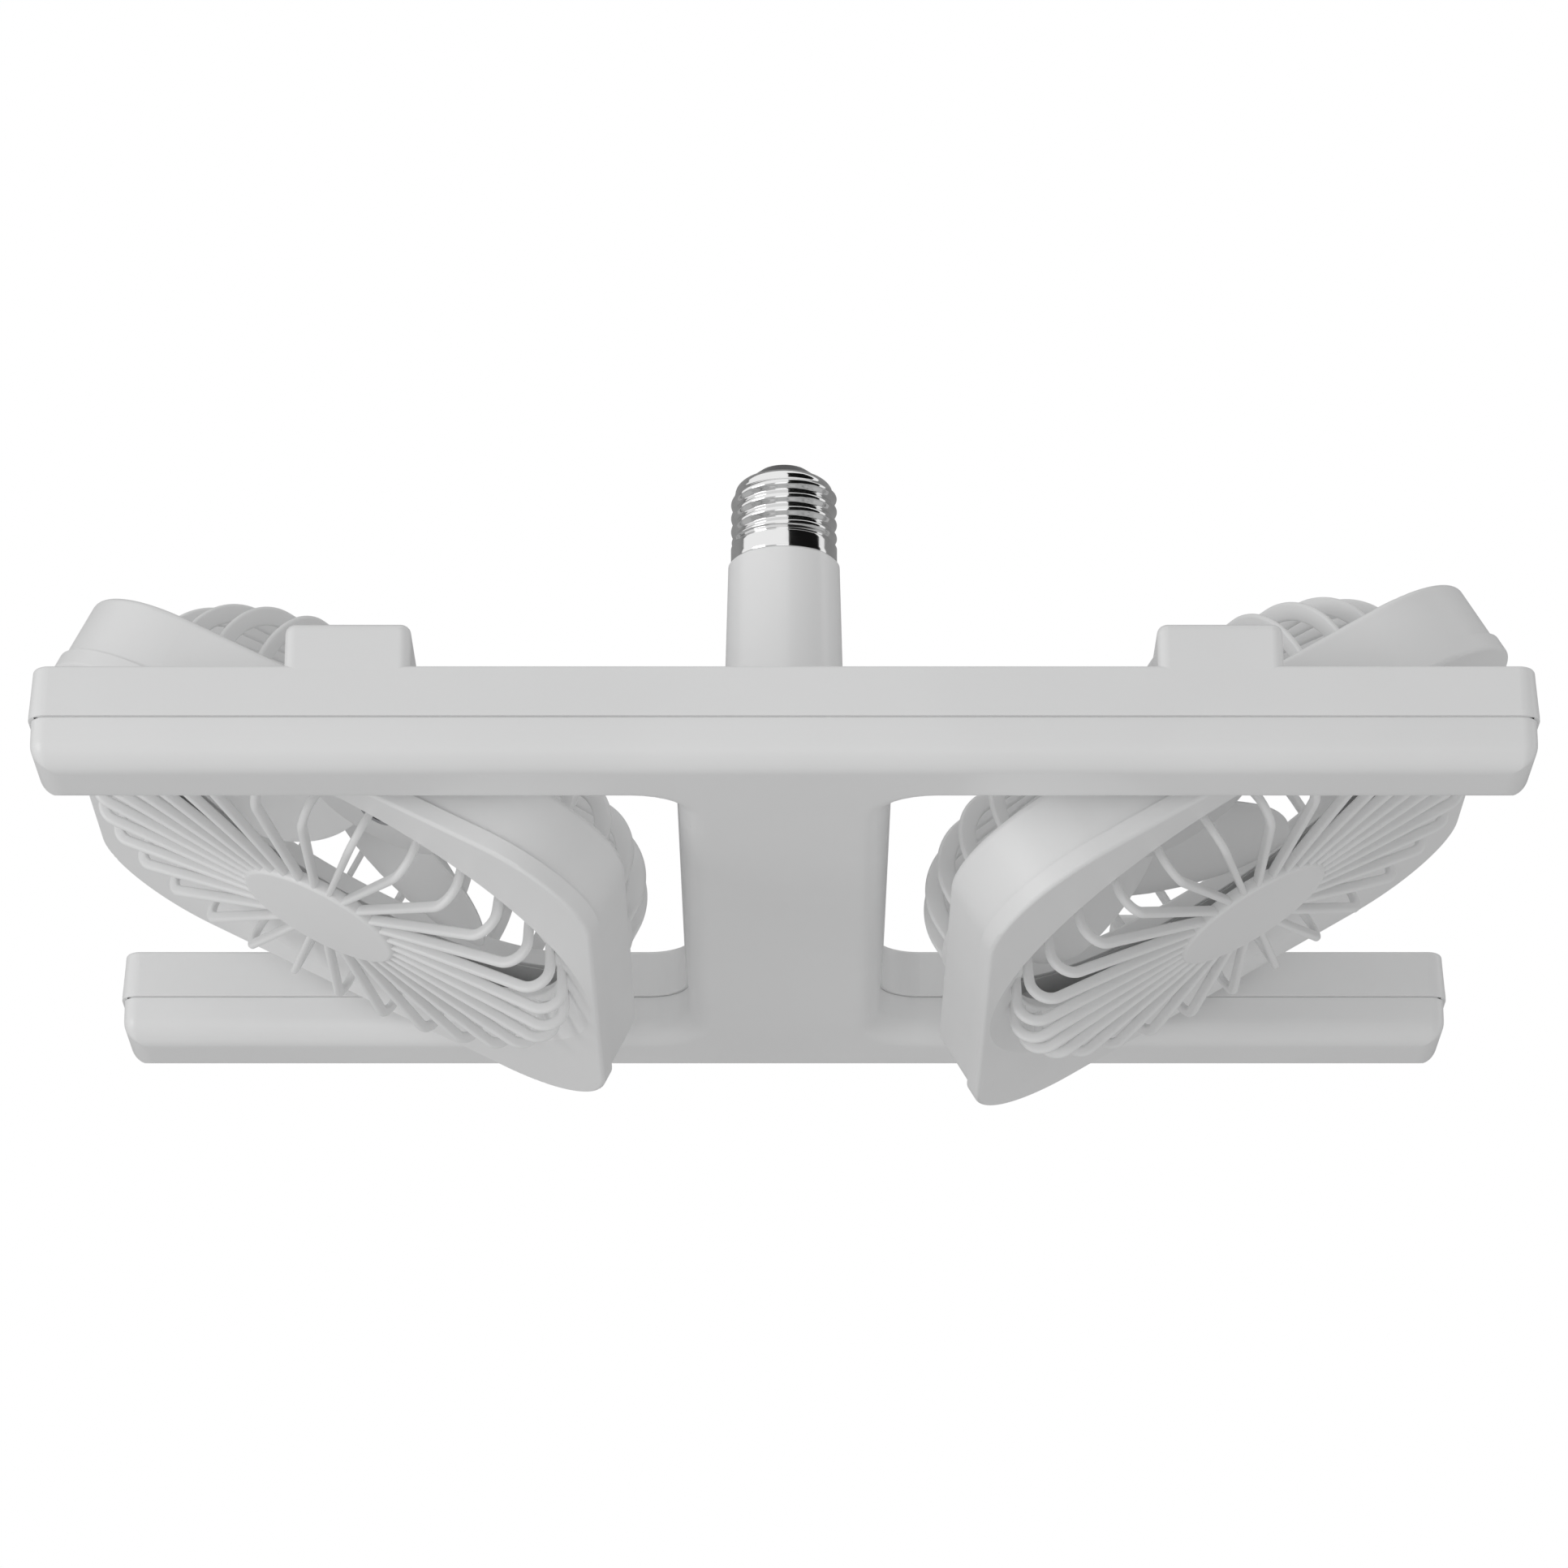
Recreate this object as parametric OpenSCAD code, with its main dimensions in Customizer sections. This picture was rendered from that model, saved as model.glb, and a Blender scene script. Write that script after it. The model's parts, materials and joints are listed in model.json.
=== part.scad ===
// Twin head ceiling fan: an H-shaped lamp frame on a screw cap, with two tilting fan heads.
// Origin: on the cap's axis at the foot of its plain skirt. +Z is up, +X runs along the bars.

/* [Frame] */
// Length of the two bars
frame_len = 341.5; // [336:0.5:360]
// Depth over both bars, front to back
frame_depth = 222; // [218:0.5:236]
// Width of a bar
bar_w = 26; // [25:0.5:30]
// Width of the column that joins the bars
column_w = 50; // [48:0.5:54]
// Height of the upper housing above the seam
upper_h = 12.4; // [11.8:0.1:15]
// Depth of the lower cover below the seam
lower_h = 11.7; // [10:0.1:15]
// Wall of the lower cover
wall = 2; // [1.6:0.1:2.4]
// Overhang of the upper housing over the cover at the seam
seam_lip = 0.7; // [0.4:0.1:1]
// Inward lean of the upper housing's sides, foot to top
side_draft = 0.6; // [0.3:0.1:1]
// Round of the upper housing's top edge
top_round = 1; // [0.5:0.1:1.4]
// Round of the cover's bottom edge
bottom_round = 3.3; // [2:0.1:3.6]
// Round of a bar's end corners, seen from above
end_round = 4.5; // [4.4:0.1:6]
// Round where the column meets a bar, seen from above
neck_round = 10; // [6:0.5:12]

/* [Pivot] */
// Distance of a head's pivot axis from the middle
pivot_x = 104.5; // [101:0.5:110]
// Height of the pivot axis above the seam
pivot_rise = 8.2; // [8:0.1:9]
// Offset of a pivot box from its pivot axis, towards the middle
box_shift = 5.6; // [4:0.1:5.8]
// Length of a pivot box along the bar
box_len = 28.5; // [28:0.5:32]
// Height of a pivot box above the bar
box_h = 10.5; // [9:0.5:13]
// Round of a pivot box's edges
box_round = 2; // [1:0.1:2.1]
// Diameter of a pivot pin
pin_d = 8; // [7:0.1:8.4]
// Diameter of the lead bore in a pivot pin
pin_bore_d = 4; // [2:0.1:5]
// Tilt of the left head from straight down
tilt_left = 26.8; // [0:0.1:45]
// Tilt of the right head from straight down
tilt_right = 30.7; // [0:0.1:45]

/* [Stem] */
// Length of the stem above the housing
stem_len = 71.2; // [50:0.5:110]
// Diameter of the stem at the cap
stem_top_d = 27.7; // [27.2:0.1:29]
// Diameter of the stem at the housing
stem_base_d = 31; // [29.5:0.1:32]
// Wall of the stem
stem_wall = 2.2; // [1.6:0.1:2.6]

/* [Screw cap] */
// Diameter of the cap's skirt and thread crests
cap_d = 26.4; // [26.1:0.05:26.6]
// Height of the plain skirt
skirt_h = 4.8; // [3.5:0.1:6]
// Pitch of the thread
thread_pitch = 3.63; // [3.4:0.01:3.8]
// Turns of the thread
thread_turns = 4; // [3:1:4]
// Depth of the thread
thread_depth = 1.05; // [0.7:0.05:1.1]
// Height of the crown above the thread
crown_h = 2.5; // [2:0.1:3]
// Diameter of the crown's flat
crown_d = 21.4; // [20:0.1:22]

/* [Head] */
// Size of a head across its pivot axis
head_len = 142; // [140:0.5:146]
// Gap between a head's sides and the bars
head_gap = 4; // [3.6:0.1:6]
// Round of a head's corners
head_round = 28; // [20:0.5:30]
// Depth of the head shell behind the pivot axis
shell_back = 9.6; // [8:0.1:12]
// Depth of the head shell before the pivot axis
shell_front = 6; // [6:0.1:7]
// Depth of the bezel before the head shell
bezel_h = 4.5; // [4:0.1:6]
// Overhang of the bezel over the head shell
bezel_lip = 0.9; // [0.3:0.1:1.2]
// Wall of the head shell and bezel
head_wall = 2.2; // [1.8:0.1:2.4]
// Margin round the air opening in the bezel
opening_margin = 10; // [9:0.5:11]

/* [Grilles] */
// Ribs in each grille
grille_ribs = 36; // [24:1:36]
// Diameter of both grille hubs
grille_hub_d = 41; // [40:0.5:44]
// Thickness of a front rib
front_rib_t = 1.8; // [1.2:0.1:2]
// Depth of a front rib
front_rib_depth = 4.5; // [3:0.1:5]
// Reach of the front grille before the pivot axis
front_reach = 19; // [17:0.5:22]
// Reach of the front ribs' shoulders past the air opening
shoulder_reach = 3.5; // [1:0.5:5]
// Round of the front ribs' shoulders
shoulder_round = 6; // [4:0.5:7]
// Thickness of a rear rib
rear_rib_t = 1.6; // [1.2:0.1:2]
// Depth of a rear rib
rear_rib_depth = 6; // [4:0.1:6.4]
// Margin round the rear grille
dome_margin = 0.5; // [0.3:0.1:1.5]
// Height of the rear grille behind the shell
dome_h = 30.5; // [29:0.5:36]

/* [Fan] */
// Blades of the impeller
blade_count = 5; // [3:1:6]
// Gap between the impeller and the air opening
tip_gap = 4; // [3.5:0.5:12]
// Diameter of the impeller's hub
hub_d = 38; // [37:0.5:39]
// Angle that a blade spans round the hub
blade_span = 61; // [30:1:61]
// Rise of a blade from its front edge to its back edge
blade_rise = 18; // [8:0.5:18]
// Thickness of a blade
blade_t = 1.8; // [1.2:0.1:2]
// Diameter of the fan shaft
shaft_d = 4; // [3:0.1:4.4]

/* [Light] */
// Gap between a light board's ends and the end screws' bosses
led_end_gap = 5.95; // [2:0.05:10]
// Width of a light board
led_board_w = 12; // [8:0.5:13]
// Light chips on each board
led_count = 24; // [12:2:24]

/* [Clearances] */
// Radial clearance of a pivot pin in its bush
pin_gap = 0.05; // [0.02:0.01:0.1]
// Radial clearance of the fan shaft in its bearings
shaft_gap = 0.03; // [0.01:0.01:0.1]
// Radial clearance of pieces that are pushed together
seat_gap = 0.05; // [0.02:0.01:0.1]
// Clearance of moulded pieces that locate each other
mould_gap = 0.15; // [0.1:0.05:0.3]
// Gap between faces that turn past each other
run_gap = 0.3; // [0.2:0.05:0.4]

/* [Hidden] */
$fn = 96;
SHELL = "gainsboro";
OPAL = "whitesmoke";
STEEL = "silver";
BOARD = "darkolivegreen";
LEFT = -1;
RIGHT = 1;
// Overrun of every cut past the face that it opens
over = 1;

// Frame: heights are measured from the seam
seam_z = -stem_len - upper_h;
side_wall = wall + seam_lip;
ceiling = upper_h - wall;
floor_z = wall - lower_h;
bar_y = frame_depth / 2 - bar_w / 2;
bar_inner_y = frame_depth / 2 - bar_w;
cavity_column_x = column_w / 2 - side_wall;
lip_h = 1.2;
neck_reach = seam_lip + bottom_round + wall / 2;
rim_h = 1.5;
rim_t = wall / 2;

// Screws that hold the frame together, with their bosses
screw_d = 2.9;
screw_head_d = 5.4;
screw_head_h = 1.6;
screw_sink = 2.5;
screw_bite = 7;
boss_d = 8.4;
frame_screw_x = frame_len / 2 - 1.5 * boss_d;
column_screw_x = cavity_column_x - boss_d / 2 - 2 * run_gap;
column_screw_y = bar_inner_y - 2 * boss_d;

// Boards and what stands on them
board_t = 1.6;
board_drop = 1;
post_d = 5.2;
board_screw_d = 2;
board_screw_head_d = 4;
board_screw_head_h = 1.2;
board_screw_bite = 5;
driver_w = 32;
driver_len = 90;
driver_post_x = driver_w / 2 - 0.7 * post_d;
driver_post_y = driver_len / 2 - 0.9 * post_d;
led_post_shares = [-0.445, -0.2, 0, 0.2, 0.445];
led_board_len = 2 * (frame_screw_x - boss_d / 2 - led_end_gap);
led_end_share = 0.6;
led_pitch = led_board_len / (led_count + led_end_share);
led_l = 3.5;
led_w = 2.8;
led_h = 0.8;
transformer_w = 18;
transformer_l = 16;
transformer_h = 9;
core_h = 5;
transformer_y = 30;
capacitor_d = 9;
capacitor_h = 9;
small_capacitor_d = 6;
capacitor_y = 28;
terminal_l = 24;
terminal_w = 10;
terminal_h = 5;

// Pivot stack: distances from the middle of the head, along the pivot axis
pivot_z = seam_z + pivot_rise;
box_x = pivot_x - box_shift;
pad_d = 2 * (pivot_rise - run_gap / 2);
pad_y = bar_inner_y - seam_lip / 2;
bush_flange_t = 1;
bush_flange_d = pad_d - wall / 2;
bush_wall = 2;
bush_d = pin_d + 2 * bush_wall;
bush_end_y = bar_inner_y + side_wall + run_gap;
head_boss_y = pad_y - bush_flange_t - run_gap;
head_boss_d = 2 * (shell_front - mould_gap);
pin_flange_t = 1.5;
washer_t = 0.8;
washer_d = 12.6;
washer_y = bush_end_y + run_gap;
nut_t = 4;
nut_d = 13.4;
pin_end_y = washer_y + washer_t + nut_t + washer_t;

// Stem and cap
stem_flange_d = 2 * (cavity_column_x - wall);
stem_flange_t = 2;
stem_screw_r = (stem_base_d + stem_flange_d) / 4;
stem_screw_d = 2;
stem_screw_head_d = 3.6;
stem_screw_bite = 4;
collar_h = 3;
ledge_t = 3;
stem_chamfer = 0.5;
spigot_h = 16;
foil = 0.5;
spigot_r = cap_d / 2 - thread_depth - foil - mould_gap;
spigot_bore_r = spigot_r - 0.6 * stem_wall;
thread_top = skirt_h + thread_turns * thread_pitch;
cap_top = thread_top + crown_h;
crown_hole_r = 0.375 * crown_d;
insulator_foot_h = 4;
insulator_h = 3.2;
insulator_top_d = 12.5;
contact_d = 9.5;
contact_h = 1.6;
lead_d = 1.8;
lead_x = crown_hole_r + lead_d / 2;

// Head: its own frame has the pivot axis along Y and +Z out of its back
front_z = -shell_front - bezel_h;
head_w = 2 * (bar_inner_y - head_gap);
round_d = min(head_len, head_w);
opening_d = round_d - 2 * opening_margin;
dome_d = round_d - 2 * dome_margin;
impeller_d = opening_d - 2 * tip_gap;
shoulder_d = opening_d + 2 * shoulder_reach;
back_round = 1.5;
bezel_round = 1;
opening_r = opening_d / 2;
dish_r = round_d / 2 - bezel_round;
dome_r = dome_d / 2;
throat_step = 4.5;
throat_r = dome_r - throat_step;
post_r = 3.6;
corner_x = head_len / 2 - head_round;
corner_y = head_w / 2 - head_round;
corner_angle = atan2(corner_y, corner_x);
corner_room = norm([corner_x, corner_y]) + head_round - dome_r;
post_share = 0.51;
lug_share = 0.175;
post_x = (dome_r + post_share * corner_room) * cos(corner_angle);
post_y = (dome_r + post_share * corner_room) * sin(corner_angle);
head_screw_d = 3;
head_screw_head_d = 5.6;
head_screw_head_h = 1.6;
lug_reach = lug_share * corner_room;
lug_root = 2;
lug_r = dome_r + lug_reach;
lug_d = 10;
lug_t = 2.5;
lug_screw_d = 2.8;
lug_screw_head_d = 5;
lug_boss_d = 5.6;
lug_boss_h = 4;
lug_screw_bite = 5;

// Grilles
front_ring_r = opening_r - mould_gap;
front_ring_t = 2.6;
front_ring_back = -2.5;
front_ring_h = 3;
rib_sink = 0.3;
front_hub_t = 3;
hub_proud = 0.4;
rear_spigot_t = 2;
rear_ring_h = 2.5;
rear_hub_t = 3.6;
dome_top = shell_back + dome_h;
rib_root = 2;
rib_root_r = grille_hub_d / 2 - rib_root;

// Motor, hung from the rear grille's hub
motor_face = dome_top - rear_hub_t;
motor_flange_r = 17;
motor_flange_t = 2;
motor_screw_r = 12;
motor_screw_count = 3;
motor_screw_d = 2.5;
motor_screw_head_d = 4.8;
motor_screw_head_h = 1.3;
tube_r = 5.5;
bearing_d = 8;
bearing_h = 3.5;
hub_wall = 2;
cup_d = hub_d - 2 * hub_wall - 2 * seat_gap;
cup_wall = 0.9;
cup_h = 17;
cup_back = motor_face - motor_flange_t - bearing_h;
cup_front = cup_back - cup_h;
cup_boss_r = 4;
cup_boss_h = 3.8;
tube_gap = 2;
tube_front = cup_front + cup_wall + tube_gap;
stator_h = 10;
stator_shift = 0.5;
stator_mid = (cup_back + tube_front) / 2 + stator_shift;
stator_r = 13.2;
shoe_t = 1;
shoe_w = 7;
yoke_r = 8;
tooth_w = 3;
tooth_count = 9;
coil_w = 5.6;
coil_over = 1.4;
coil_inner_r = 8.6;
coil_outer_r = 11.7;
magnet_t = 1.6;
magnet_h = 12.5;
shaft_short = 1;

// Impeller
hub_nose = 3.4;
hub_skirt = 1;
hub_front = cup_front - hub_nose;
hub_back = cup_back + hub_skirt;
blade_root_r = hub_d / 2 - 0.6 * hub_wall;
blade_tip_r = impeller_d / 2;
blade_root_z = (hub_front + hub_back) / 2;
blade_tip_drop = 8.5;
blade_camber = 3;
blade_sweep = 14;
blade_rows = 7;
blade_cols = 8;
tip_round_share = 0.1;

// Half of a cross-section whose top outer corner is rounded, from the middle outward
module round_top(half, h, r) {
    square([half - r, h]);
    square([half, h - r]);
    translate([half - r, h - r]) intersection() { circle(r); square([r, r]); }
}

// Half of a shell's cross-section, from the middle outward
module half_section(kind, half) {
    if (kind == "upper") {
        edge = half - side_draft;
        polygon([[0, 0], [half, 0], [half, lip_h], [edge, upper_h - top_round],
            [edge - top_round, upper_h - top_round], [edge - top_round, upper_h], [0, upper_h]]);
        translate([edge - top_round, upper_h - top_round])
            intersection() { circle(top_round); square([top_round, top_round]); }
    }
    if (kind == "lower") mirror([0, 1]) round_top(half - seam_lip, lower_h, bottom_round);
    if (kind == "box") round_top(half, top_round + box_round + box_h, box_round);
    if (kind == "shell") translate([0, -shell_front]) round_top(half, shell_front + shell_back, back_round);
    if (kind == "bezel") mirror([0, 1]) translate([0, shell_front]) round_top(half, bezel_h, bezel_round);
}

module full_section(kind, half) {
    half_section(kind, half);
    mirror([1, 0]) half_section(kind, half);
}

// A block with its cross-section's edges carried round all four sides and corners
module slab(kind, length, width, corner) {
    rotate([90, 0, 90]) linear_extrude(length - 2 * corner, center = true) full_section(kind, width / 2);
    rotate([90, 0, 0]) linear_extrude(width - 2 * corner, center = true) full_section(kind, length / 2);
    for (x = [-1, 1], y = [-1, 1])
        translate([x * (length / 2 - corner), y * (width / 2 - corner), 0])
            rotate_extrude() half_section(kind, corner);
}

module mirror_four() {
    for (x = [0, 1], y = [0, 1]) mirror([x, 0, 0]) mirror([0, y, 0]) children();
}

// The gusset in the corner between column and bar: a block less a round whose side is the shell's edge
module neck(kind, low, high) {
    reach = neck_round + neck_reach;
    translate([column_w / 2 + neck_round, bar_inner_y - neck_round, 0]) difference() {
        translate([-reach, 0, low]) cube([reach, reach, high - low]);
        rotate_extrude() difference() {
            translate([0, low - over]) square([reach, high - low + 2 * over]);
            translate([reach, 0]) mirror([1, 0]) half_section(kind, neck_reach);
        }
        mirror([0, 1, 0]) translate([-reach, 0, low - over]) cube([2 * reach, reach, high - low + 2 * over]);
    }
}

module h_form(kind, low, high) {
    for (y = [-bar_y, bar_y]) translate([0, y, 0]) slab(kind, frame_len, bar_w, end_round);
    rotate([90, 0, 0]) linear_extrude(2 * bar_y, center = true) full_section(kind, column_w / 2);
    mirror_four() neck(kind, low, high);
}

// The hollow inside the H, grown by an amount on every side
module h_hollow(grow, low, high) {
    translate([0, 0, low]) linear_extrude(high - low) {
        for (y = [-bar_y, bar_y]) translate([0, y])
            square([frame_len - 2 * side_wall + 2 * grow, bar_w - 2 * side_wall + 2 * grow], center = true);
        square([2 * cavity_column_x + 2 * grow, 2 * bar_y], center = true);
    }
}

module at_frame_screws() {
    mirror_four() translate([frame_screw_x, bar_y, 0]) children();
    mirror_four() translate([column_screw_x, column_screw_y, 0]) children();
}

module at_driver_posts() {
    mirror_four() translate([driver_post_x, driver_post_y, 0]) children();
}

module at_led_posts() {
    for (share = led_post_shares) translate([share * led_board_len, 0, 0]) children();
}

module at_all_posts() {
    at_driver_posts() children();
    for (y = [-bar_y, bar_y]) translate([0, y, 0]) at_led_posts() children();
}

module at_stem_screws() {
    for (a = [45:90:315]) rotate(a) translate([stem_screw_r, 0, 0]) children();
}

// Places along the four pivot axes, with +Z pointing away from the middle of the head
module at_pivots() {
    for (x = [-pivot_x, pivot_x]) translate([x, 0, pivot_rise]) both_ends() children();
}

module both_ends() {
    for (a = [-90, 90]) rotate([a, 0, 0]) children();
}

module ring(outer_r, inner_r, h) {
    difference() {
        cylinder(r = outer_r, h = h);
        translate([0, 0, -over]) cylinder(r = inner_r, h = h + 2 * over);
    }
}

module upper_housing() {
    color(SHELL) translate([0, 0, seam_z]) difference() {
        union() {
            difference() {
                union() {
                    h_form("upper", 0, upper_h);
                    for (x = [-box_x, box_x], y = [-bar_y, bar_y])
                        translate([x, y, upper_h - top_round - box_round])
                            slab("box", box_len, bar_w - 2 * side_draft, 1.25 * box_round);
                    at_pivots() translate([0, 0, pad_y]) cylinder(d = pad_d, h = bar_inner_y + wall - pad_y);
                    translate([0, 0, ceiling]) cylinder(d = stem_flange_d, h = wall + collar_h);
                }
                h_hollow(0, -over, ceiling);
                h_hollow(rim_t + mould_gap, -over, rim_h + mould_gap);
                for (x = [-box_x, box_x], y = [-bar_y, bar_y]) translate([x, y, ceiling / 2])
                    linear_extrude(ceiling / 2 + box_h)
                        square([box_len - 2 * wall, bar_w - 2 * side_wall], center = true);
            }
            at_frame_screws() cylinder(d = boss_d, h = ceiling + wall / 2);
        }
        at_frame_screws() {
            translate([0, 0, -over]) cylinder(d = screw_d + 2 * seat_gap, h = upper_h + 2 * over);
            translate([0, 0, upper_h - screw_sink])
                cylinder(d = screw_head_d + 2 * mould_gap, h = screw_sink + over);
        }
        cylinder(d = stem_base_d + 2 * mould_gap, h = upper_h + collar_h + over);
        at_stem_screws() translate([0, 0, ceiling - over])
            cylinder(d = stem_screw_d + 2 * seat_gap, h = stem_screw_bite + over);
        at_pivots() translate([0, 0, bar_inner_y - bush_d / 2])
            cylinder(d = bush_d + 2 * seat_gap, h = bush_d);
    }
}

module board_posts() {
    color(SHELL) translate([0, 0, seam_z - board_drop]) at_all_posts() difference() {
        cylinder(d = post_d, h = ceiling + board_drop);
        translate([0, 0, -over]) cylinder(d = board_screw_d + 2 * seat_gap, h = board_screw_bite + 2 * over);
    }
}

module lower_cover() {
    color(OPAL) translate([0, 0, seam_z]) difference() {
        union() {
            difference() {
                h_form("lower", -lower_h, 0);
                h_hollow(0, floor_z, over);
            }
            difference() {
                h_hollow(rim_t, -rim_h, rim_h);
                h_hollow(0, floor_z, rim_h + over);
            }
            at_frame_screws() translate([0, 0, floor_z - wall / 2])
                cylinder(d = boss_d, h = wall / 2 - floor_z);
        }
        at_frame_screws() translate([0, 0, -screw_bite - wall / 4])
            cylinder(d = screw_d + 2 * seat_gap, h = screw_bite + over);
    }
}

// A screw with its head's seat at the origin and its point towards -Z
module screw(shank_d, length, head_d, head_h) {
    translate([0, 0, -length]) cylinder(d = shank_d, h = length + head_h / 2);
    cylinder(d1 = head_d, d2 = 0.8 * head_d, h = head_h);
}

module housing_screws() {
    color(STEEL) translate([0, 0, seam_z + upper_h - screw_sink]) at_frame_screws()
        screw(screw_d, upper_h - screw_sink + screw_bite, screw_head_d, screw_head_h);
}

module stem() {
    base_r = stem_base_d / 2;
    top_r = stem_top_d / 2;
    ceiling_z = seam_z + ceiling;
    color(SHELL) difference() {
        rotate_extrude() polygon([
            [base_r - stem_wall, ceiling_z - stem_flange_t], [stem_flange_d / 2, ceiling_z - stem_flange_t],
            [stem_flange_d / 2, ceiling_z], [base_r, ceiling_z], [base_r, -stem_len],
            [top_r, -stem_chamfer], [top_r - stem_chamfer, 0],
            [spigot_r, 0], [spigot_r, spigot_h], [spigot_bore_r, spigot_h], [spigot_bore_r, -ledge_t],
            [top_r - stem_wall, -ledge_t]]);
        translate([0, 0, ceiling_z - stem_flange_t - over]) at_stem_screws()
            cylinder(d = stem_screw_d + 2 * seat_gap, h = stem_flange_t + 2 * over);
    }
}

module stem_screws() {
    color(STEEL) translate([0, 0, seam_z + ceiling - stem_flange_t]) at_stem_screws() mirror([0, 0, 1])
        screw(stem_screw_d, stem_flange_t + stem_screw_bite - seat_gap, stem_screw_head_d, board_screw_head_h);
}

module screw_shell() {
    crest_r = cap_d / 2;
    root_r = crest_r - thread_depth;
    bore_r = root_r - foil;
    color(STEEL) rotate_extrude() {
        translate([bore_r, 0]) square([crest_r - bore_r, skirt_h]);
        translate([bore_r, 0]) square([foil, thread_top]);
        for (turn = [1:thread_turns]) translate([root_r, skirt_h + (turn - 0.5) * thread_pitch])
            intersection() {
                circle(thread_depth);
                translate([-foil / 2, -thread_depth]) square([thread_depth + foil, 2 * thread_depth]);
            }
        polygon([[bore_r, thread_top], [root_r, thread_top], [crown_d / 2 + foil, cap_top - foil],
            [crown_d / 2, cap_top], [crown_hole_r, cap_top], [crown_hole_r, cap_top - foil],
            [crown_d / 2 - foil, cap_top - foil]]);
    }
}

module cap_insulator() {
    foot_r = crown_hole_r - seat_gap;
    color("dimgray") rotate_extrude() polygon([
        [lead_d / 2 + seat_gap, cap_top - insulator_foot_h], [foot_r, cap_top - insulator_foot_h],
        [foot_r, cap_top], [crown_d / 2 - foil, cap_top], [insulator_top_d / 2, cap_top + insulator_h],
        [lead_d / 2 + seat_gap, cap_top + insulator_h]]);
}

module centre_contact() {
    color(STEEL) translate([0, 0, cap_top + insulator_h]) rotate_extrude() intersection() {
        square([contact_d / 2, contact_h]);
        translate([0, contact_h - contact_d]) circle(contact_d);
    }
}

module mains_leads() {
    foot = seam_z - board_drop + terminal_h;
    color("firebrick") translate([0, 0, foot]) cylinder(d = lead_d, h = cap_top + insulator_h - foot);
    color("navy") translate([lead_x, 0, foot]) cylinder(d = lead_d, h = cap_top - foil - foot);
}

module board(length, width) {
    translate([0, 0, seam_z - board_drop - board_t / 2]) cube([length, width, board_t], center = true);
}

module board_hole() {
    translate([0, 0, seam_z - board_drop - board_t - over])
        cylinder(d = board_screw_d + 2 * seat_gap, h = board_t + 2 * over);
}

module driver_board() {
    color(BOARD) difference() {
        board(driver_w, driver_len);
        at_driver_posts() board_hole();
    }
}

module on_driver_board() {
    translate([0, 0, seam_z - board_drop]) children();
}

module terminal_block() {
    color("seagreen") on_driver_board() translate([0, 0, terminal_h / 2])
        cube([terminal_l, terminal_w, terminal_h], center = true);
}

module transformer() {
    color("goldenrod") on_driver_board() translate([0, transformer_y, transformer_h / 2]) {
        cube([transformer_w, transformer_l - 2 * wall, transformer_h], center = true);
        cube([transformer_w - 2 * wall, transformer_l, core_h], center = true);
    }
}

module capacitors() {
    color("black") on_driver_board() {
        translate([-capacitor_d / 2, -capacitor_y, 0]) cylinder(d = capacitor_d, h = capacitor_h);
        translate([capacitor_d / 2, -capacitor_y, 0]) cylinder(d = small_capacitor_d, h = capacitor_h - wall);
    }
}

module led_board(y) {
    color("white") translate([0, y, 0]) difference() {
        board(led_board_len, led_board_w);
        at_led_posts() board_hole();
    }
}

module led_board_front() { led_board(-bar_y); }
module led_board_rear() { led_board(bar_y); }

module led_chips() {
    color("khaki") translate([0, 0, seam_z - board_drop - board_t - led_h / 2])
        for (y = [-bar_y, bar_y], i = [0:led_count - 1])
            translate([(i - (led_count - 1) / 2) * led_pitch, y, 0]) cube([led_l, led_w, led_h], center = true);
}

module board_screws() {
    color(STEEL) translate([0, 0, seam_z - board_drop - board_t]) at_all_posts() mirror([0, 0, 1])
        screw(board_screw_d, board_t + board_screw_bite, board_screw_head_d, board_screw_head_h);
}

module pivot_bushes() {
    color("darkgray") translate([0, 0, seam_z]) at_pivots() difference() {
        union() {
            translate([0, 0, pad_y - bush_flange_t]) cylinder(d = bush_flange_d, h = bush_flange_t);
            translate([0, 0, pad_y - bush_flange_t]) cylinder(d = bush_d, h = bush_end_y - pad_y + bush_flange_t);
        }
        translate([0, 0, pad_y - bush_flange_t - over])
            cylinder(d = pin_d + 2 * pin_gap, h = bush_end_y - pad_y + bush_flange_t + 2 * over);
    }
}

// Moves a piece from a head's own frame to its place and tilt in the frame
module in_head(side) {
    translate([side * pivot_x, 0, pivot_z]) rotate([0, side == LEFT ? tilt_left : -tilt_right, 0]) children();
}

module rounded_rect(length, width, r) {
    square([length - 2 * r, width], center = true);
    square([length, width - 2 * r], center = true);
    for (x = [-1, 1], y = [-1, 1]) translate([x * (length / 2 - r), y * (width / 2 - r)]) circle(r);
}

module head_hollow(low, high) {
    translate([0, 0, low]) linear_extrude(high - low)
        rounded_rect(head_len - 2 * head_wall, head_w - 2 * head_wall, head_round - head_wall);
}

module at_lugs() {
    for (a = [corner_angle, -corner_angle, 180 - corner_angle, 180 + corner_angle])
        rotate(a) translate([lug_r, 0, 0]) children();
}

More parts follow.
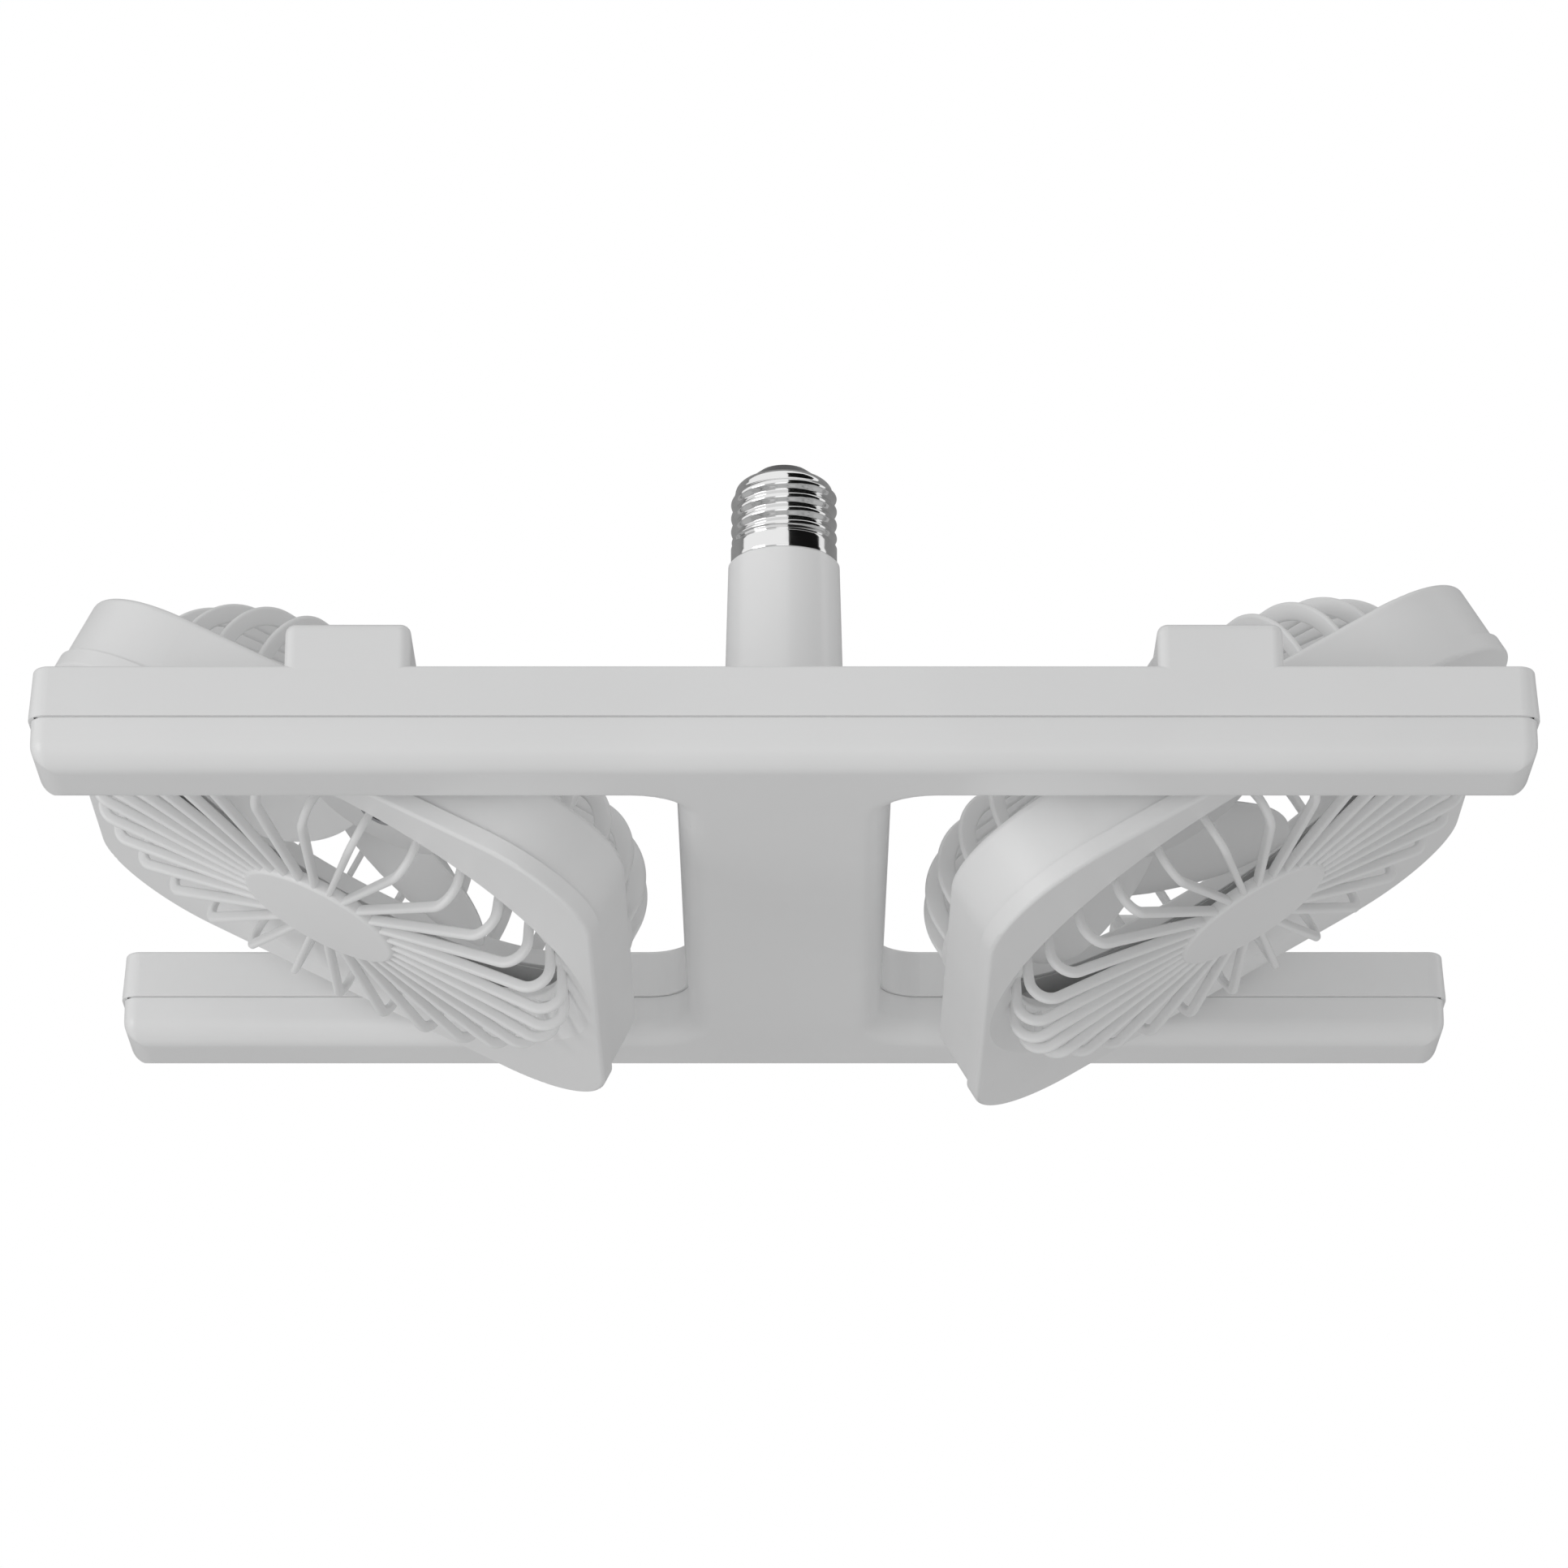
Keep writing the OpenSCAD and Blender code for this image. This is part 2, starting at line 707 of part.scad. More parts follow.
module head_shell(side) {
    color(SHELL) in_head(side) difference() {
        union() {
            difference() {
                slab("shell", head_len, head_w, head_round);
                head_hollow(-shell_front - over, shell_back - head_wall);
            }
            both_ends() translate([0, 0, head_w / 2 - head_wall])
                cylinder(d = head_boss_d, h = head_boss_y - head_w / 2 + head_wall);
            mirror_four() translate([post_x, post_y, -shell_front])
                cylinder(r = post_r, h = shell_front + shell_back - head_wall / 2);
            translate([0, 0, shell_back - head_wall - lug_boss_h]) at_lugs()
                cylinder(d = lug_boss_d, h = lug_boss_h + head_wall / 2);
        }
        translate([0, 0, shell_back - head_wall - over]) cylinder(r = throat_r, h = head_wall + 2 * over);
        both_ends() translate([0, 0, head_w / 2 - head_wall - over])
            cylinder(d = pin_d + 2 * seat_gap, h = head_wall + head_boss_y - head_w / 2 + 2 * over);
        mirror_four() translate([post_x, post_y, -shell_front - over]) {
            cylinder(d = head_screw_d + 2 * seat_gap, h = shell_front + shell_back + 2 * over);
            translate([0, 0, over + shell_front + shell_back - head_wall])
                cylinder(d = head_screw_head_d + 2 * mould_gap, h = head_wall + over);
        }
        translate([0, 0, shell_back - lug_screw_bite - mould_gap]) at_lugs()
            cylinder(d = lug_screw_d + 2 * seat_gap, h = lug_screw_bite + over);
    }
}

module front_bezel(side) {
    lip_r = opening_r + head_wall;
    color(SHELL) in_head(side) difference() {
        union() {
            difference() {
                slab("bezel", head_len + 2 * bezel_lip, head_w + 2 * bezel_lip, head_round + bezel_lip);
                head_hollow(front_z + head_wall, -shell_front + over);
            }
            rotate_extrude() polygon([[opening_r, front_ring_back], [lip_r, front_ring_back],
                [lip_r, -shell_front + head_wall / 2], [dish_r, front_z + head_wall], [dish_r, front_z],
                [opening_r, front_z]]);
            mirror_four() translate([post_x, post_y, front_z + head_wall / 2])
                cylinder(r = post_r, h = bezel_h - head_wall / 2);
        }
        rotate_extrude() polygon([[0, over], [opening_r, over], [opening_r, -shell_front], [dish_r, front_z],
            [dish_r, front_z - over], [0, front_z - over]]);
        mirror_four() translate([post_x, post_y, front_z + head_wall / 2])
            cylinder(d = head_screw_d + 2 * seat_gap, h = bezel_h + over);
    }
}

// Points along an arc round (x, y)
function arc(x, y, r, from, to, steps = 6) =
    [for (i = [0:steps]) let (a = from + (to - from) * i / steps) [x + r * cos(a), y + r * sin(a)]];

// Outline of a front rib: it runs along the grille's face, rounds the shoulder and hooks back to the ring
module front_rib_outline() {
    outer_r = front_ring_r - rib_sink;
    inner_r = front_ring_r - front_ring_t + rib_sink;
    inner_face = front_rib_depth - front_reach;
    knee_r = shoulder_d / 2 - front_rib_depth;
    polygon([[rib_root_r, -front_reach],
        each arc(shoulder_d / 2 - shoulder_round, shoulder_round - front_reach, shoulder_round, -90, 0),
        [outer_r, -shell_front], [outer_r, front_ring_back - rib_sink], [inner_r, front_ring_back - rib_sink],
        [inner_r, -shell_front],
        each arc(knee_r - shoulder_round, inner_face + shoulder_round, shoulder_round, 0, -90),
        [rib_root_r, inner_face]]);
}

module ribs(thickness) {
    for (i = [0:grille_ribs - 1]) rotate(i * 360 / grille_ribs) rotate([90, 0, 0])
        linear_extrude(thickness, center = true) children();
}

module front_grille(side) {
    color(SHELL) in_head(side) {
        ribs(front_rib_t) front_rib_outline();
        translate([0, 0, front_ring_back - front_ring_h])
            ring(front_ring_r, front_ring_r - front_ring_t, front_ring_h);
        translate([0, 0, -front_reach - hub_proud]) cylinder(d = grille_hub_d, h = front_hub_t + hub_proud);
    }
}

// A quarter of a dome's outline with its flat towards the axis
module dome_outline(r) {
    translate([dome_r - dome_h, shell_back]) intersection() {
        circle(r);
        translate([0, rib_sink]) square([r, r]);
    }
    translate([rib_root_r, shell_back]) square([dome_r - dome_h - rib_root_r, r]);
}

module rear_grille(side) {
    color(SHELL) in_head(side) difference() {
        union() {
            ribs(rear_rib_t) difference() {
                dome_outline(dome_h);
                translate([0, -over]) dome_outline(dome_h - rear_rib_depth + over);
            }
            translate([0, 0, shell_back]) ring(dome_r - rib_sink, throat_r - mould_gap - rear_spigot_t, rear_ring_h);
            translate([0, 0, shell_back - head_wall])
                ring(throat_r - mould_gap, throat_r - mould_gap - rear_spigot_t, head_wall + rear_ring_h / 2);
            translate([0, 0, motor_face]) cylinder(d = grille_hub_d, h = rear_hub_t);
            translate([0, 0, shell_back]) at_lugs() {
                cylinder(d = lug_d, h = lug_t);
                translate([-lug_reach - lug_root, -lug_d / 2, 0]) cube([lug_reach + lug_root, lug_d, lug_t]);
            }
        }
        translate([0, 0, shell_back - over]) at_lugs()
            cylinder(d = lug_screw_d + 2 * seat_gap, h = lug_t + 2 * over);
        translate([0, 0, motor_face - over]) at_motor_screws()
            cylinder(d = motor_screw_d + 2 * seat_gap, h = rear_hub_t + 2 * over);
        translate([0, 0, dome_top - motor_screw_head_h - mould_gap]) at_motor_screws()
            cylinder(d = motor_screw_head_d + 2 * mould_gap, h = motor_screw_head_h + over);
    }
}

module pivot_pins(side) {
    foot_y = head_w / 2 - head_wall - pin_flange_t;
    color(STEEL) in_head(side) both_ends() translate([0, 0, foot_y]) difference() {
        union() {
            cylinder(d = head_boss_d, h = pin_flange_t);
            cylinder(d = pin_d, h = pin_end_y - foot_y);
        }
        translate([0, 0, -over]) cylinder(d = pin_bore_d, h = pin_end_y - foot_y + 2 * over);
    }
}

module friction_washers(side) {
    color(STEEL) in_head(side) both_ends() translate([0, 0, washer_y])
        ring(washer_d / 2, pin_d / 2 + seat_gap, washer_t);
}

module lock_nuts(side) {
    color(STEEL) in_head(side) both_ends() translate([0, 0, washer_y + washer_t]) difference() {
        cylinder(d = nut_d, h = nut_t, $fn = 6);
        translate([0, 0, -over]) cylinder(d = pin_d + 2 * seat_gap, h = nut_t + 2 * over);
    }
}

module head_screws(side) {
    seat = shell_back - head_wall;
    color(STEEL) in_head(side) mirror_four() translate([post_x, post_y, seat])
        screw(head_screw_d, seat - front_z - 0.6 * head_wall, head_screw_head_d, head_screw_head_h);
}

module grille_screws(side) {
    color(STEEL) in_head(side) translate([0, 0, shell_back + lug_t]) at_lugs()
        screw(lug_screw_d, lug_t + lug_screw_bite, lug_screw_head_d, head_screw_head_h);
}

module at_motor_screws() {
    for (i = [0:motor_screw_count - 1])
        rotate(i * 360 / motor_screw_count) translate([motor_screw_r, 0, 0]) children();
}

module motor_base(side) {
    color("darkgray") in_head(side) difference() {
        union() {
            translate([0, 0, motor_face - motor_flange_t]) cylinder(r = motor_flange_r, h = motor_flange_t);
            translate([0, 0, tube_front]) cylinder(r = tube_r, h = motor_face - tube_front);
        }
        translate([0, 0, tube_front - over])
            cylinder(d = bearing_d + 2 * seat_gap, h = motor_face - tube_front + 2 * over);
        translate([0, 0, motor_face - motor_flange_t - over]) at_motor_screws()
            cylinder(d = motor_screw_d + 2 * seat_gap, h = motor_flange_t + 2 * over);
    }
}

module motor_screws(side) {
    seat = dome_top - motor_screw_head_h - mould_gap;
    color(STEEL) in_head(side) translate([0, 0, seat]) at_motor_screws()
        screw(motor_screw_d, seat - motor_face + motor_flange_t, motor_screw_head_d, motor_screw_head_h);
}

module motor_bearings(side) {
    color(STEEL) in_head(side)
        for (z = [tube_front + shaft_gap, motor_face - motor_flange_t - bearing_h]) translate([0, 0, z])
            ring(bearing_d / 2, shaft_d / 2 + shaft_gap, bearing_h);
}

module stator(side) {
    color("slategray") in_head(side) translate([0, 0, stator_mid - stator_h / 2]) linear_extrude(stator_h)
        difference() {
            union() {
                circle(yoke_r);
                for (i = [0:tooth_count - 1]) rotate(i * 360 / tooth_count) {
                    translate([0, -tooth_w / 2]) square([stator_r - shoe_t / 2, tooth_w]);
                    intersection() {
                        difference() { circle(stator_r); circle(stator_r - shoe_t); }
                        translate([0, -shoe_w / 2]) square([stator_r, shoe_w]);
                    }
                }
            }
            circle(tube_r + seat_gap);
        }
}

module windings(side) {
    depth = coil_outer_r - coil_inner_r;
    color("peru") in_head(side) translate([0, 0, stator_mid]) for (i = [0:tooth_count - 1])
        rotate(i * 360 / tooth_count) translate([coil_inner_r + depth / 2, 0, 0]) difference() {
            cube([depth, coil_w, stator_h + 2 * coil_over], center = true);
            cube([depth + 2 * over, tooth_w + 2 * seat_gap, stator_h + 2 * seat_gap], center = true);
        }
}

module rotor_cup(side) {
    color(STEEL) in_head(side) difference() {
        union() {
            translate([0, 0, cup_front]) cylinder(d = cup_d, h = cup_h);
            translate([0, 0, cup_front - cup_boss_h]) cylinder(r = cup_boss_r, h = cup_boss_h + cup_wall);
        }
        translate([0, 0, cup_front + cup_wall]) cylinder(d = cup_d - 2 * cup_wall, h = cup_h);
        translate([0, 0, cup_front - cup_boss_h - over])
            cylinder(d = shaft_d + seat_gap, h = cup_boss_h + 2 * over);
    }
}

module rotor_magnet(side) {
    outer_r = cup_d / 2 - cup_wall - seat_gap;
    color("dimgray") in_head(side) translate([0, 0, stator_mid - magnet_h / 2])
        ring(outer_r, outer_r - magnet_t, magnet_h);
}

module fan_shaft(side) {
    foot = cup_front - cup_boss_h + shaft_short;
    color(STEEL) in_head(side) translate([0, 0, foot]) cylinder(d = shaft_d, h = motor_face - shaft_short - foot);
}

// A point of a blade: t runs from hub to tip, c across the blade from -1 to 1, side is 1 on its back face
function blade_point(t, c, side) =
    let (r = blade_root_r + (blade_tip_r - blade_root_r) * t * (1 - tip_round_share * pow(c, 6) * t),
        angle = blade_span / 2 * c + blade_sweep * t * t)
    [r * cos(angle), r * sin(angle), blade_root_z - blade_tip_drop * t + blade_rise / 2 * c
        + blade_camber * (c * c - 0.5) * t + side * blade_t / 2];

function blade_index(side, i, j) = (side * (blade_rows + 1) + i) * (blade_cols + 1) + j;

function quad(a, b, c, d) = [[a, b, c], [a, c, d]];

module blade() {
    points = [for (side = [-1, 1], i = [0:blade_rows], j = [0:blade_cols])
        blade_point(i / blade_rows, 2 * j / blade_cols - 1, side)];
    faces = [
        for (i = [0:blade_rows - 1], j = [0:blade_cols - 1]) each quad(blade_index(1, i, j),
            blade_index(1, i, j + 1), blade_index(1, i + 1, j + 1), blade_index(1, i + 1, j)),
        for (i = [0:blade_rows - 1], j = [0:blade_cols - 1]) each quad(blade_index(0, i, j),
            blade_index(0, i + 1, j), blade_index(0, i + 1, j + 1), blade_index(0, i, j + 1)),
        for (j = [0:blade_cols - 1]) each quad(blade_index(1, 0, j), blade_index(0, 0, j),
            blade_index(0, 0, j + 1), blade_index(1, 0, j + 1)),
        for (j = [0:blade_cols - 1]) each quad(blade_index(1, blade_rows, j), blade_index(1, blade_rows, j + 1),
            blade_index(0, blade_rows, j + 1), blade_index(0, blade_rows, j)),
        for (i = [0:blade_rows - 1]) each quad(blade_index(1, i, 0), blade_index(1, i + 1, 0),
            blade_index(0, i + 1, 0), blade_index(0, i, 0)),
        for (i = [0:blade_rows - 1]) each quad(blade_index(1, i + 1, blade_cols), blade_index(1, i, blade_cols),
            blade_index(0, i, blade_cols), blade_index(0, i + 1, blade_cols))];
    polyhedron(points, faces);
}

module impeller(side) {
    color(SHELL) in_head(side) {
        difference() {
            translate([0, 0, hub_front]) cylinder(d = hub_d, h = hub_back - hub_front);
            translate([0, 0, cup_front]) cylinder(d = cup_d + 2 * seat_gap, h = hub_back);
            translate([0, 0, hub_front - over]) cylinder(r = cup_boss_r + seat_gap, h = cup_front);
        }
        for (i = [0:blade_count - 1]) rotate(i * 360 / blade_count) blade();
    }
}

upper_housing();
lower_cover();
stem();
screw_shell();
cap_insulator();
centre_contact();
mains_leads();
driver_board();
terminal_block();
transformer();
capacitors();
led_board_front();
led_board_rear();
led_chips();
board_posts();
housing_screws();
stem_screws();
board_screws();
pivot_bushes();
head_shell(LEFT);  // head_shell_left
head_shell(RIGHT);  // head_shell_right
front_bezel(LEFT);  // front_bezel_left
front_bezel(RIGHT);  // front_bezel_right
front_grille(LEFT);  // front_grille_left
front_grille(RIGHT);  // front_grille_right
rear_grille(LEFT);  // rear_grille_left
rear_grille(RIGHT);  // rear_grille_right
pivot_pins(LEFT);  // pivot_pins_left
pivot_pins(RIGHT);  // pivot_pins_right
friction_washers(LEFT);  // friction_washers_left
friction_washers(RIGHT);  // friction_washers_right
lock_nuts(LEFT);  // lock_nuts_left
lock_nuts(RIGHT);  // lock_nuts_right
head_screws(LEFT);  // head_screws_left
head_screws(RIGHT);  // head_screws_right
grille_screws(LEFT);  // grille_screws_left
grille_screws(RIGHT);  // grille_screws_right
motor_base(LEFT);  // motor_base_left
motor_base(RIGHT);  // motor_base_right
motor_bearings(LEFT);  // motor_bearings_left
motor_bearings(RIGHT);  // motor_bearings_right
stator(LEFT);  // stator_left
stator(RIGHT);  // stator_right
windings(LEFT);  // windings_left
windings(RIGHT);  // windings_right
motor_screws(LEFT);  // motor_screws_left
motor_screws(RIGHT);  // motor_screws_right
impeller(LEFT);  // impeller_left
impeller(RIGHT);  // impeller_right
rotor_cup(LEFT);  // rotor_cup_left
rotor_cup(RIGHT);  // rotor_cup_right
rotor_magnet(LEFT);  // rotor_magnet_left
rotor_magnet(RIGHT);  // rotor_magnet_right
fan_shaft(LEFT);  // fan_shaft_left
fan_shaft(RIGHT);  // fan_shaft_right
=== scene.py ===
"""Twin head ceiling fan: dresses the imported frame, adds the fine pieces and sets up the studio.

Everything is in the row frame: the origin is on the screw cap's axis at the foot of its plain
skirt, +Z is up and +X runs along the bars. Shapes are worked out in millimetres and put into the
meshes in metres.
"""
import json
import logging
import math
from abc import ABC, abstractmethod
from dataclasses import dataclass, field
from enum import Enum
from typing import Callable, Dict, Iterable, List, Optional, Sequence, Tuple, Union

import bmesh
import bpy
import numpy as np
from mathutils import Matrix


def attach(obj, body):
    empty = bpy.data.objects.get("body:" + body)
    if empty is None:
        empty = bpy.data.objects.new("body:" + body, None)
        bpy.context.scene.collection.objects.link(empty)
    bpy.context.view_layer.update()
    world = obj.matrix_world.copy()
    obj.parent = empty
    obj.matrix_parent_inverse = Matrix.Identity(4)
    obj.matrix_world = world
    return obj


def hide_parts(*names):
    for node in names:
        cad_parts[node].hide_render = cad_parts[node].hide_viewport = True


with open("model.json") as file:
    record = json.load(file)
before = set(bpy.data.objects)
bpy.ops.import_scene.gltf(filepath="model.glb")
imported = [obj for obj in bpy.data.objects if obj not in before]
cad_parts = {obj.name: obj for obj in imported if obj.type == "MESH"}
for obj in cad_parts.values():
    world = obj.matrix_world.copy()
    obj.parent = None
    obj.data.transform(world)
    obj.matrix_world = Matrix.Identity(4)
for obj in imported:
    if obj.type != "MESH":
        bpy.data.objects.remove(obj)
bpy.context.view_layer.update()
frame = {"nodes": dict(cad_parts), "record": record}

log = logging.getLogger("twin_head_fan")
MM = 0.001
Colour = Tuple[float, float, float]
Point = Tuple[float, float, float]
Corner = Tuple[float, float, float]
Inputs = Dict[Union[str, int], object]


class Value:
    """A number in a node tree. Python's operators on it add Math nodes."""

    def __init__(self, kit: "NodeKit", socket: bpy.types.NodeSocket) -> None:
        """Wraps the output socket that carries the number."""
        self.kit = kit
        self.socket = socket

    def _join(self, operation: str, first: "Number", second: "Number") -> "Value":
        """The result of one Math node."""
        return self.kit.value("ShaderNodeMath", {"operation": operation}, {0: first, 1: second})

    def __add__(self, other: "Number") -> "Value":
        """Sum."""
        return self._join("ADD", self, other)

    __radd__ = __add__

    def __sub__(self, other: "Number") -> "Value":
        """Difference."""
        return self._join("SUBTRACT", self, other)

    def __rsub__(self, other: "Number") -> "Value":
        """Difference, reflected."""
        return self._join("SUBTRACT", other, self)

    def __mul__(self, other: "Number") -> "Value":
        """Product."""
        return self._join("MULTIPLY", self, other)

    def __truediv__(self, other: "Number") -> "Value":
        """Quotient."""
        return self._join("DIVIDE", self, other)

    def sine(self) -> "Value":
        """Sine of the number in radians."""
        return self._join("SINE", self, 0.0)

    def fraction(self) -> "Value":
        """The part after the decimal point."""
        return self._join("FRACT", self, 0.0)

    def step(self, low: float, high: float) -> "Value":
        """Rises smoothly from 0 at low to 1 at high."""
        return self.kit.value("ShaderNodeMapRange", {"interpolation_type": "SMOOTHSTEP"},
                              {"Value": self, "From Min": low, "From Max": high})


Number = Union[Value, float, int]


class NodeKit:
    """Builds the node tree of a material or of the world."""

    # Where a Mix node keeps its colours' factor, inputs and result.
    mix_factor, mix_first, mix_second, mix_result = 0, 6, 7, 2

    def __init__(self, owner: Union[bpy.types.Material, bpy.types.World]) -> None:
        """Starts with an empty tree.

        Args:
            owner: The material or world that the tree belongs to.
        """
        self.owner = owner
        owner.use_nodes = True
        self.tree = owner.node_tree
        self.tree.nodes.clear()

    def node(self, kind: str, settings: Optional[Dict[str, object]] = None,
             inputs: Optional[Inputs] = None) -> bpy.types.Node:
        """Adds any node.

        Args:
            kind: The node's type.
            settings: Its settings, set before its inputs.
            inputs: Values or links for its sockets, by name or number.

        Returns:
            The node.
        """
        node = self.tree.nodes.new(kind)
        for key, setting in (settings or {}).items():
            setattr(node, key, setting)
        for key, item in (inputs or {}).items():
            socket = node.inputs[key]
            if isinstance(item, Value):
                self.tree.links.new(item.socket, socket)
            elif isinstance(item, bpy.types.NodeSocket):
                self.tree.links.new(item, socket)
            elif isinstance(item, tuple) and len(item) == 3 and socket.type == "RGBA":
                socket.default_value = (*item, 1.0)
            else:
                socket.default_value = item
        return node

    def value(self, kind: str, settings: Dict[str, object], inputs: Inputs) -> Value:
        """Adds a node and wraps its first output as a number."""
        return Value(self, self.node(kind, settings, inputs).outputs[0])

    def place(self, scale: Point = (1.0, 1.0, 1.0)) -> bpy.types.NodeSocket:
        """Object coordinates in metres, times a scale along each axis."""
        mapping = {"Vector": self.node("ShaderNodeTexCoord").outputs["Object"], "Scale": scale}
        return self.node("ShaderNodeMapping", None, mapping).outputs["Vector"]

    def axes(self, scale: Point = (1.0, 1.0, 1.0)) -> List[Value]:
        """The three object coordinates as numbers, times a scale along each axis."""
        split = self.node("ShaderNodeSeparateXYZ", None, {0: self.place(scale)})
        return [Value(self, output) for output in split.outputs]

    def noise(self, scale: float, detail: float = 2.0, stretch: Point = (1.0, 1.0, 1.0)) -> Value:
        """Soft noise around 0.5.

        Args:
            scale: Lumps per metre.
            detail: Octaves.
            stretch: Scale along each axis before the noise.

        Returns:
            The noise.
        """
        inputs = {"Vector": self.place(stretch), "Scale": scale, "Detail": detail,
                  "Roughness": 0.55}
        return self.value("ShaderNodeTexNoise", {"noise_dimensions": "3D"}, inputs)

    def mix(self, factor: Number, first: object, second: object) -> bpy.types.NodeSocket:
        """A colour between two colours."""
        inputs = {self.mix_factor: factor, self.mix_first: first, self.mix_second: second}
        return self.node("ShaderNodeMix", {"data_type": "RGBA"}, inputs).outputs[self.mix_result]

    def bump(self, height: Value, strength: float, distance: float) -> bpy.types.NodeSocket:
        """A normal bent by a height, whose full rise is a distance in metres."""
        inputs = {"Height": height, "Strength": strength, "Distance": distance}
        return self.node("ShaderNodeBump", None, inputs).outputs["Normal"]

    def surface(self, inputs: Inputs) -> bpy.types.Material:
        """Closes the tree with a Principled shader.

        Args:
            inputs: Values or links for the shader's sockets.

        Returns:
            The material.
        """
        shader = self.node("ShaderNodeBsdfPrincipled", None, inputs)
        self.node("ShaderNodeOutputMaterial", None, {"Surface": shader.outputs[0]})
        return self.owner


def shade(colour: Colour, by: float) -> Colour:
    """The colour times a number, held under 1."""
    return tuple(min(1.0, part * by) for part in colour)


@dataclass(frozen=True)
class Finish(ABC):
    """A procedural material with a name and a main colour."""

    name: str
    colour: Colour

    @abstractmethod
    def inputs(self, kit: NodeKit) -> Inputs:
        """The Principled shader's inputs.

        Args:
            kit: The node kit of the new material.

        Returns:
            Values or links for the shader's sockets.
        """

    def material(self) -> bpy.types.Material:
        """Builds the material."""
        kit = NodeKit(bpy.data.materials.new(self.name))
        return kit.surface(self.inputs(kit))


@dataclass(frozen=True)
class MouldedPlastic(Finish):
    """Moulded plastic: an even colour, faint flow clouds and a skin as fine as spark erosion."""

    roughness: float = 0.4
    coat: float = 0.0
    grain: float = 0.02
    clouds: float = 0.02
    cloud_scale: float = 14.0
    grain_scale: float = 2600.0
    gloss_scale: float = 160.0
    gloss_change: float = 0.08

    def inputs(self, kit: NodeKit) -> Inputs:
        """Colour clouds, uneven gloss and the skin's bump, whose height is grain millimetres."""
        clouds = kit.noise(self.cloud_scale, 3.0).step(0.3, 0.7)
        skin = kit.noise(self.grain_scale)
        dark, light = shade(self.colour, 1 - self.clouds), shade(self.colour, 1 + self.clouds / 2)
        gloss = (kit.noise(self.gloss_scale, 3.0) - 0.5) * self.gloss_change
        return {"Base Color": kit.mix(clouds, dark, light), "Roughness": self.roughness + gloss,
                "Coat Weight": self.coat, "Coat Roughness": 0.18,
                "Normal": kit.bump(skin, 0.25, self.grain * MM)}


@dataclass(frozen=True)
class PlatedMetal(Finish):
    """Bright plated sheet metal: faint drawing lines round its axis and small handling marks."""

    roughness: float = 0.1
    line_scale: float = 900.0
    line_height: float = 0.02
    mark_scale: float = 60.0

    def inputs(self, kit: NodeKit) -> Inputs:
        """Drawing lines in gloss and bump, and duller, rougher marks."""
        lines = kit.noise(self.line_scale, 2.0, (0.04, 0.04, 1.0))
        marks = kit.noise(self.mark_scale, 4.0).step(0.55, 0.75)
        rough = self.roughness + marks * 0.06 + (lines - 0.5) * 0.05
        return {"Base Color": kit.mix(marks, self.colour, shade(self.colour, 0.9)),
                "Metallic": 1.0, "Roughness": rough,
                "Normal": kit.bump(lines, 0.15, self.line_height * MM)}


@dataclass(frozen=True)
class WorkedMetal(Finish):
    """Turned, sheared or cast metal: fine tool lines over a cloudy grey."""

    roughness: float = 0.35
    line_scale: float = 2200.0
    metallic: float = 1.0
    line_height: float = 0.03
    cloud_scale: float = 90.0

    def inputs(self, kit: NodeKit) -> Inputs:
        """Tool lines in gloss and bump, over clouds in the colour."""
        lines = kit.noise(self.line_scale, 2.0, (1.0, 0.08, 0.25))
        clouds = kit.noise(self.cloud_scale, 4.0).step(0.35, 0.65)
        return {"Base Color": kit.mix(clouds, shade(self.colour, 0.86), self.colour),
                "Metallic": self.metallic, "Roughness": self.roughness + (lines - 0.5) * 0.2,
                "Normal": kit.bump(lines, 0.3, self.line_height * MM)}


@dataclass(frozen=True)
class CircuitBoard(Finish):
    """Solder resist over copper: a grid of broad tracks that stand a little proud."""

    track: Colour
    grid: float = 5.0
    track_height: float = 0.04
    wander: float = 2.0

    def inputs(self, kit: NodeKit) -> Inputs:
        """Tracks where both coordinates, made to wander, lie in a band of the grid."""
        per_metre = 1 / (self.grid * MM)
        x, y, _ = kit.axes((per_metre, per_metre, 1.0))
        across = (x + kit.noise(60.0) * self.wander).fraction()
        along = (y + kit.noise(45.0) * self.wander).fraction()
        band = across.step(0.42, 0.46) * (1 - across.step(0.7, 0.74))
        tracks = band * along.step(0.1, 0.14)
        return {"Base Color": kit.mix(tracks, self.colour, self.track),
                "Roughness": 0.32 + tracks * 0.08,
                "Normal": kit.bump(tracks, 0.4, self.track_height * MM)}


@dataclass(frozen=True)
class WoundWire(Finish):
    """Enamelled wire: turns side by side as fine ridges, with painted shade in the grooves between
    them, so that each crest is lighter.
    """

    pitch: float = 0.35
    turn_height: float = 0.08

    def inputs(self, kit: NodeKit) -> Inputs:
        """A sine along Z, one wave to a turn, as bump and as painted shade in the colour."""
        turns = (kit.axes()[2] * (2 * math.pi / (self.pitch * MM))).sine() * 0.5 + 0.5
        # Painted shade: the colour falls to 0.55 of the wire's colour in the grooves between turns.
        return {"Base Color": kit.mix(turns, shade(self.colour, 0.55), self.colour),
                "Metallic": 0.85, "Roughness": 0.3 + kit.noise(300.0) * 0.1,
                "Normal": kit.bump(turns, 0.6, self.turn_height * MM)}


